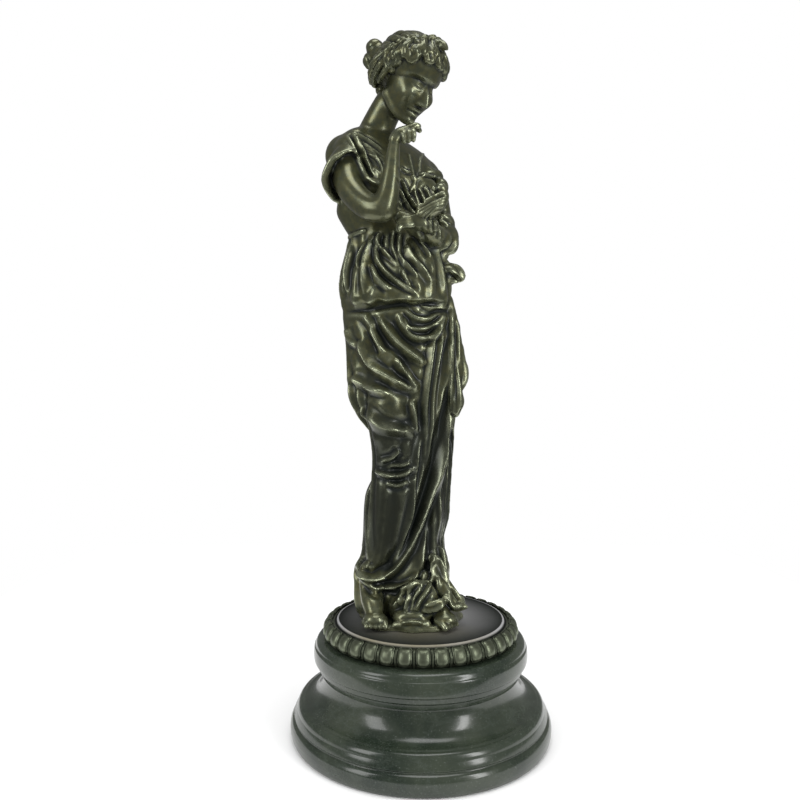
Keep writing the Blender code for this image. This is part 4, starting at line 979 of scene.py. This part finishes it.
def combHair(mesh, s):
    # waved strands, the narrow band and the coils of the knot, raised on the hair alone
    points, normals = readPoints(mesh), readNormals(mesh)
    local = (points - headPoint(0, 0, 0)) @ np.linalg.inv(headAxes)
    left, forward, up = local.T
    around = np.degrees(np.arctan2(left, forward + 2))
    onHair = np.clip((up - hairline(around)) / 1.5 + 0.3, 0, 1) * (np.linalg.norm(local, axis=1) < 50)
    onHair *= (forward > -46) * (points[:, 2] > 330)
    knot = np.clip((-forward - 31) / 3, 0, 1)
    plane = 0.8186 * (forward + 6) - 0.575 * (up - 5.5)
    swept = np.clip(0.5 - plane / 1.2, 0, 1) * (1 - knot)
    angle = np.arctan2(left, up + 4)
    strand = s["strands"] * angle + 0.8 * np.sin(forward / 4.2 + 2 * angle)
    coil = 1.5 * np.hypot(left, (up - 2.5) * 0.8) + 1.0 * np.arctan2(up - 2.5, left)
    ridge = (np.abs(np.sin(strand)) ** 0.6 - 0.6) * swept * 0.9
    ridge += (np.abs(np.sin(coil)) ** 0.6 - 0.6) * knot * 0.7
    ridge += 0.28 * (np.abs(np.sin(3 * strand + 0.7)) - 0.6) * swept
    ahead = np.clip(plane / 1.2 - 0.5, 0, 1) * (1 - knot)
    ridge += 0.34 * (np.abs(np.sin(around * 0.42 + 0.5 * up + 0.8 * np.sin(up * 0.9))) - 0.6) * ahead
    band = np.clip(1.9 - np.abs(plane), 0, 0.5) / 0.5 * (1 - knot) * (up > -4)
    line = np.exp(-((np.abs(plane) - 0.1) / 0.32) ** 2)
    raised = ridge * (1 - band) + band * (0.95 - 0.5 * line)
    writePoints(mesh, points + normals * (raised * onHair)[:, None])


def wearAndShadeMaps(mesh):
    # attributes of how deep each point lies in a hollow, or how far it stands on a crest, for painted shade
    # in the hollows and painted highlight with some abrasion on the crests
    points, normals, edges = readPoints(mesh), readNormals(mesh), readEdges(mesh)
    near = relax(points, edges, 5)
    wide = relax(near, edges, 34)
    small = ((points - near) * normals).sum(1)
    large = ((points - wide) * normals).sum(1)
    crest = np.clip((small - 0.018) / 0.075, 0, 1) * 0.7 + np.clip(large / 0.9, 0, 1) * 0.45
    hollow = np.clip(-large / 0.55, 0, 1) * 0.85 + np.clip(-small / 0.06, 0, 1) * 0.35
    for name, values in (("crest", crest), ("hollow", hollow)):
        writeValues(mesh, name, relax(np.clip(values, 0, 1)[:, None], edges, 2)[:, 0])


casting = {
    "coarseVoxel": 1.0, "fineVoxel": 0.5, "quickVoxel": 0.9, "relaxRounds": 8, "foldScale": 1.2, "seat": 0.2,
    "mostTriangles": 196000,
}


def laid(tree, path, radius, side=0.0, lift=0.0):
    # knots of a limb along (across, z) points, laid on the body as seen from a side in degrees
    c, s = cos(radians(side)), sin(radians(side))
    toViewer = Vector((s, -c, 0))
    knots = []
    for across, z in smoothPath(path, 4):
        hit = tree.ray_cast(Vector((across * c, across * s, z)) + toViewer * 200, -toViewer)[0]
        if hit is not None:
            knots.append((*(hit + toViewer * lift), radius))
    return knots


def modelEdges(clay, body):
    # the cords on the breast with their knot, and the girdle's end at the waist
    tree = BVHTree.FromPolygons([tuple(p) for p in readPoints(body)],
                                [tuple(face.vertices) for face in body.polygons])
    for path, radius in (
            ([(2.5, 309), (0.5, 303), (-0.5, 296), (-0.2, 289.5)], 0.8),
            ([(-7.5, 302), (-6.6, 297), (-4.4, 286), (-3.6, 277), (-1.0, 267)], 0.9),
            ([(9.5, 291), (1.5, 287.5), (-3.5, 283.5), (-8, 274), (-13, 267.5)], 0.9),
            ([(-46.5, 249.2), (-41.5, 249.8), (-36.5, 250.6)], 1.4)):
        clay.limb(laid(tree, path, radius, lift=0.2), sides=10, perSpan=2)
    clay.egg(tree.ray_cast(Vector((-5.0, -200, 285.5)), Vector((0, 1, 0)))[0], (2.4, 1.8, 2.4))


def makeFigure(s):
    fine = s["fineVoxel"]
    body = Clay()
    modelDrapery(body)
    modelArms(body)
    modelSleeves(body)
    cast = body.fused("body", s["coarseVoxel"])
    writePoints(cast, relax(readPoints(cast), readEdges(cast), s["relaxRounds"]))
    whole = Clay()
    whole.addMesh(cast)
    modelHands(whole)
    modelBird(whole, bird)
    modelFeet(whole)
    modelEdges(whole, cast)
    modelHair(whole, hair)
    cast = whole.fused("figure", fine)
    writePoints(cast, relax(readPoints(cast), readEdges(cast), 2))
    faceRelief(cast)
    carve(cast, mantleFolds() + backFolds(), s["foldScale"])
    writePoints(cast, relax(readPoints(cast), readEdges(cast), 1))
    carve(cast, chitonFolds() + featherFolds(bird), s["foldScale"])
    combHair(cast, hair)
    writePoints(cast, relax(readPoints(cast), readEdges(cast), 1, 0.35))
    wearAndShadeMaps(cast)
    thing = addObject("figureDraft", cast)
    count = sum(len(face.vertices) - 2 for face in cast.polygons)
    if count > s["mostTriangles"]:
        thin = thing.modifiers.new("thin", "DECIMATE")
        thin.ratio = s["mostTriangles"] / count
    mesh = evaluatedMesh(thing)
    bpy.data.objects.remove(thing)
    shape = bmesh.new()
    shape.from_mesh(mesh)
    cut = bmesh.ops.bisect_plane(shape, geom=shape.verts[:] + shape.edges[:] + shape.faces[:],
                                 plane_co=(0, 0, s["seat"]), plane_no=(0, 0, -1), clear_outer=True)
    rim = [edge for edge in cut["geom_cut"] if isinstance(edge, bmesh.types.BMEdge)]
    bmesh.ops.holes_fill(shape, edges=rim, sides=0)
    shape.to_mesh(mesh)
    shape.free()
    mesh.transform(Matrix.Translation((0, 0, floorOfFigure)) @ Matrix.Scale(unit, 4))
    print("figure", len(mesh.polygons), "faces")
    return mesh


shownPiece("bronze_woman", makeFigure(casting), figureBronze(bronzeLook), "woman_figure")


# turned pieces, from profiles that run from the middle of the top down to the middle of the underside
def turnedMesh(name, profile, steps):
    points = [(0.0, profile[0][1]), *profile, (0.0, profile[-1][1])]
    mesh = bpy.data.meshes.new(name)
    mesh.from_pydata([(r, 0, z) for r, z in points], [(i, i + 1) for i in range(len(points) - 1)], [])
    thing = addObject(name, mesh)
    screw = thing.modifiers.new("turn", "SCREW")
    screw.steps = screw.render_steps = steps
    screw.use_merge_vertices = True
    screw.merge_threshold = 1e-6
    result = evaluatedMesh(thing)
    bpy.data.objects.remove(thing)
    return result


def quarter(start, end, steps, hollow=False):
    (r0, z0), (r1, z1) = start, end
    found = []
    for i in range(1, steps + 1):
        turn = pi / 2 * i / steps
        across, along = (1 - cos(turn), sin(turn)) if hollow else (sin(turn), 1 - cos(turn))
        found.append((r0 + (r1 - r0) * across, z0 + (z1 - z0) * along))
    return found


plinth = {
    "ledge": 0.0060, "neckDepth": 0.0067, "foot": 0.0126, "quirk": 0.0010, "quirkDepth": 0.0018,
    "lowerBand": 0.0040, "ovolo": 0.0046, "ovoloReach": 0.0036, "cove": 0.0162, "fillet": 0.0035,
    "filletStep": 0.0021, "roll": 0.0094, "rollIn": 0.0008, "shoulder": 0.0046, "shoulderIn": 0.0057,
    "steps": 192,
}


def softened(profile, share=0.00022):
    # each corner of a profile eased by a small chamfer
    rows = [np.array(p) for p in profile]
    found = [rows[0]]
    for i in range(1, len(rows) - 1):
        before, here, after = rows[i - 1], rows[i], rows[i + 1]
        for other in (before, after):
            way = other - here
            long = np.linalg.norm(way)
            found.append(here + way / long * min(share, long * 0.3))
    found.append(rows[-1])
    return [tuple(p) for p in found]


def marblePlinth(s):
    wide = plinthBox[1].x
    roll = baseBox[1].x + s["ledge"]
    neck = roll - s["neckDepth"]
    level = s["foot"]
    foot = [(wide * 0.965, 0.0), (wide * 0.984, level * 0.06), (wide * 0.994, level * 0.2),
            (wide * 0.9985, level * 0.36), (wide, level * 0.55), (wide * 0.9965, level * 0.74),
            (wide * 0.988, level * 0.88), (wide * 0.979, level * 0.95)]
    band = wide * 0.979
    quirk = [(band - s["quirkDepth"] * 0.7, level), (band - s["quirkDepth"] * 0.7, level + s["quirk"])]
    level += s["quirk"]
    lower = [(band - s["quirkDepth"] * 0.3, level + 0.0006)]
    level += s["lowerBand"]
    start = (band - s["quirkDepth"] * 1.5, level)
    lower.append(start)
    end = (start[0] - s["ovoloReach"], level + s["ovolo"])
    ovolo = quarter(start, end, 8, hollow=True)
    level += s["ovolo"] + 0.0007
    coveStart = (end[0] - 0.0012, level)
    cove = [coveStart, *quarter(coveStart, (neck, level + s["cove"]), 16)]
    level += s["cove"]
    fillets = []
    for i in range(2):
        radius = neck + s["filletStep"] * (i + 1)
        fillets += [(radius, level + 0.0007), (radius, level + s["fillet"])]
        level += s["fillet"] + 0.0006
    inner = neck + s["filletStep"] * 2.6
    rollTop = roll - s["rollIn"]
    bulge = [(inner, level)]
    for i in range(1, 12):
        turn = pi * i / 12
        swell = sin(turn) ** 0.7
        across = inner + (roll - inner) * swell + (i / 12) * (rollTop - inner) * (1 - swell)
        bulge.append((across, level + s["roll"] * (1 - cos(turn)) / 2))
    level += s["roll"]
    top = (roll - 0.0013, level + s["shoulder"] * 0.2)
    shoulder = [(rollTop, level), top,
                *quarter(top, (roll - s["shoulderIn"], plinthBox[1].z), 6, hollow=True)]
    upwards = foot + quirk + lower + ovolo + cove + fillets + bulge + shoulder
    return turnedMesh("plinthDraft", softened(upwards)[::-1], s["steps"])


shownPiece("turned_marble", marblePlinth(plinth), polishedMarble(marbleLook), "marble_plinth")
print("plinth made")


# the base: a turned disc, and a ring of gadroons by Geometry Nodes
base = {
    "rim": 0.0068, "groove": 0.0022, "grooveDepth": 0.0014, "gadroons": 36, "bandIn": 0.0066,
    "bandUp": 0.0040, "bandWide": 0.0050, "bandHigh": 0.0063, "egg": 0.0017, "line": 0.0004, "steps": 216,
    "weld": 0.00001, "middlePlace": (-0.006, -0.040), "middleRadii": (0.045, 0.026),
}


def gadroonMesh(s):
    # one tile of the rim: an egg in a raised shield-shaped outline, with half of the narrow dart at each side
    rows, columns = 44, 30
    radius, seat = baseBox[1].x, baseBox[0].z
    half = pi / s["gadroons"]
    shape = bmesh.new()
    grid = []
    for i in range(rows + 1):
        u = i / rows
        tilt = radians(84 - 128 * u)
        line = []
        for j in range(columns + 1):
            v = -1 + 2 * j / columns
            across = abs(v) / 0.80
            along = (u - 0.46) / 0.44
            power = 5.0 if along < 0 else 2.7
            box = (across ** power + abs(along) ** power) ** (1 / power)
            ridge = s["line"] * np.exp(-((box - 0.95) / 0.045) ** 2)
            egg = s["egg"] * (0.80 + 0.22 * along) * max(0.0, 1 - (box / 0.86) ** 2.4) ** 0.55
            dart = 0.0009 * np.exp(-((abs(v) - 0.955) / 0.03) ** 2) * (0.3 + 0.7 * min(1.0, u * 3))
            rise = 0.0002 + ridge + egg + dart + (0.0003 if box < 1 else -0.0002)
            out = radius - s["bandIn"] + (s["bandWide"] + rise) * cos(tilt)
            level = seat + s["bandUp"] + (s["bandHigh"] + rise) * sin(tilt) * (1.0 if tilt > 0 else 0.82)
            line.append(shape.verts.new((out * cos(v * half), out * sin(v * half), level)))
        grid.append(line)
    for i in range(rows):
        for j in range(columns):
            shape.faces.new((grid[i][j], grid[i + 1][j], grid[i + 1][j + 1], grid[i][j + 1]))
    mesh = bpy.data.meshes.new("gadroon")
    shape.to_mesh(mesh)
    shape.free()
    return mesh


def ringTree(material):
    # sets Count copies of the mesh round the Z axis and welds them closer than Weld
    tree = bpy.data.node_groups.new("gadroonRing", "GeometryNodeTree")
    for name, way, kind in (("Geometry", "INPUT", "Geometry"), ("Count", "INPUT", "Int"),
                            ("Weld", "INPUT", "Float"), ("Geometry", "OUTPUT", "Geometry")):
        tree.interface.new_socket(name, in_out=way, socket_type="NodeSocket" + kind)

    def add(kind, **inputs):
        return makeNode(tree, kind, **inputs)

    sockets = tree.nodes.new("NodeGroupInput").outputs
    tile, count, weld = [Wire(tree, sockets[name]) for name in ("Geometry", "Count", "Weld")]
    spots = add("GeometryNodePoints", Count=count)
    turn = add("ShaderNodeCombineXYZ", Z=add("GeometryNodeInputIndex") * (2 * pi / count))
    copies = add("GeometryNodeInstanceOnPoints", Points=spots, Instance=tile, Rotation=turn)
    real = add("GeometryNodeRealizeInstances", Geometry=copies)
    welded = add("GeometryNodeMergeByDistance", Geometry=real, Distance=weld)
    done = add("GeometryNodeSetMaterial", Geometry=welded, Material=material)
    tree.links.new(done.socket, tree.nodes.new("NodeGroupOutput").inputs[0])
    return tree


def gadroonRing(s, material):
    thing = addObject("gadroonDraft", gadroonMesh(s))
    nodes = thing.modifiers.new("ring", "NODES")
    nodes.node_group = ringTree(material)
    values = {"Count": s["gadroons"], "Weld": s["weld"]}
    for item in nodes.node_group.interface.items_tree:
        if item.item_type == "SOCKET" and item.in_out == "INPUT" and item.name in values:
            nodes[item.identifier] = values[item.name]
    mesh = evaluatedMesh(thing)
    bpy.data.objects.remove(thing)
    return mesh


def bronzeBase(s, material):
    radius, top, seat = baseBox[1].x, baseBox[1].z, baseBox[0].z
    disc = radius - s["rim"] - s["groove"]
    inner = disc + s["groove"]
    profile = [(disc * 0.5, top), (disc - 0.0016, top), (disc - 0.0013, top + 0.0003),
               (disc - 0.0008, top + 0.00035), (disc - 0.0003, top + 0.0002), (disc, top - 0.0002),
               (disc + s["groove"] * 0.25, top - s["grooveDepth"] * 0.9),
               (disc + s["groove"] * 0.55, top - s["grooveDepth"]), (inner, top - s["grooveDepth"] * 0.9),
               (inner + 0.0012, top - 0.0016), (radius - 0.0030, top - 0.0040),
               (radius - 0.0022, seat + 0.0040), (radius - 0.0034, seat + 0.0010), (radius - 0.0040, seat)]
    mesh = turnedMesh("baseDraft", profile, s["steps"])
    ring = gadroonRing(s, material)
    shape = bmesh.new()
    shape.from_mesh(mesh)
    shape.from_mesh(ring)
    result = bpy.data.meshes.new("base")
    shape.to_mesh(result)
    shape.free()
    points = readPoints(result)
    out = np.hypot(points[:, 0], points[:, 1])
    onRim = np.clip((out - disc) / 0.0006, 0, 1)
    (x, y), (a, b) = s["middlePlace"], s["middleRadii"]
    middle = np.clip(1.3 - np.hypot((points[:, 0] - x) / a, (points[:, 1] - y) / b), 0, 1)
    normals = readNormals(result)
    edges = readEdges(result)
    wide = relax(points, edges, 6)
    bulge = ((points - wide) * normals).sum(1)
    crest = np.clip(bulge / 0.00006, 0, 1) * onRim
    # the hollow mask takes painted shade in the material
    hollow = np.clip(-bulge / 0.00008, 0, 1)
    for name, values in (("rim", onRim), ("middle", middle), ("crest", crest), ("hollow", hollow)):
        writeValues(result, name, values)
    return result


baseMaterial = baseBronze(baseLook)
shownPiece("bronze_base", bronzeBase(base, baseMaterial), baseMaterial, "gadrooned_base")
print("base made")


# pale floor and soft light
studio = {
    "floorColour": (0.93, 0.93, 0.93), "floorNear": (-0.45, -0.13), "floorFar": (0.45, 0.55),
    "world": 1.0, "mirrored": 0.22,
    "lamps": (
        ("softbox_left", (-0.95, -0.75, 0.62), (0, 0, 0.25), (0.42, 0.9), 5),
        ("softbox_right", (0.85, -0.85, 0.50), (0, 0, 0.25), (0.22, 0.9), 6),
        ("top_light", (0.1, -0.2, 1.4), (0, 0, 0.2), (0.7, 0.5), 4),
    ),
}


def addFloor(s):
    (left, near), (right, far) = s["floorNear"], s["floorFar"]
    mesh = bpy.data.meshes.new("floor")
    mesh.from_pydata([(left, near, 0), (right, near, 0), (right, far, 0), (left, far, 0)], [], [(0, 1, 2, 3)])
    floor = addObject("studio_floor", mesh)
    paint = Paint("floor_paper")
    mesh.materials.append(paint.set(Base_Color=s["floorColour"], Roughness=0.9))


def addArea(name, place, aim, size, power):
    lamp = bpy.data.lights.new(name, "AREA")
    lamp.shape = "RECTANGLE"
    lamp.size, lamp.size_y = size
    lamp.energy = power
    thing = bpy.data.objects.new(name, lamp)
    thing.location = place
    thing.rotation_euler = (Vector(aim) - Vector(place)).to_track_quat("-Z", "Y").to_euler()
    bpy.context.scene.collection.objects.link(thing)


def addWorld(s):
    world = bpy.data.worlds.new("studio")
    bpy.context.scene.world = world
    world.use_nodes = True
    tree = world.node_tree
    background = tree.nodes["Background"]
    background.inputs["Color"].default_value = (1, 1, 1, 1)
    rays = tree.nodes.new("ShaderNodeLightPath").outputs
    mirrored = Wire(tree, rays["Is Glossy Ray"])
    strength = mirrored * (s["mirrored"] - s["world"]) + s["world"]
    tree.links.new(strength.socket, background.inputs["Strength"])


addFloor(studio)
addWorld(studio)
for row in studio["lamps"]:
    addArea(*row)
bpy.context.scene.view_settings.view_transform = "Standard"
bpy.context.scene.view_settings.look = "None"
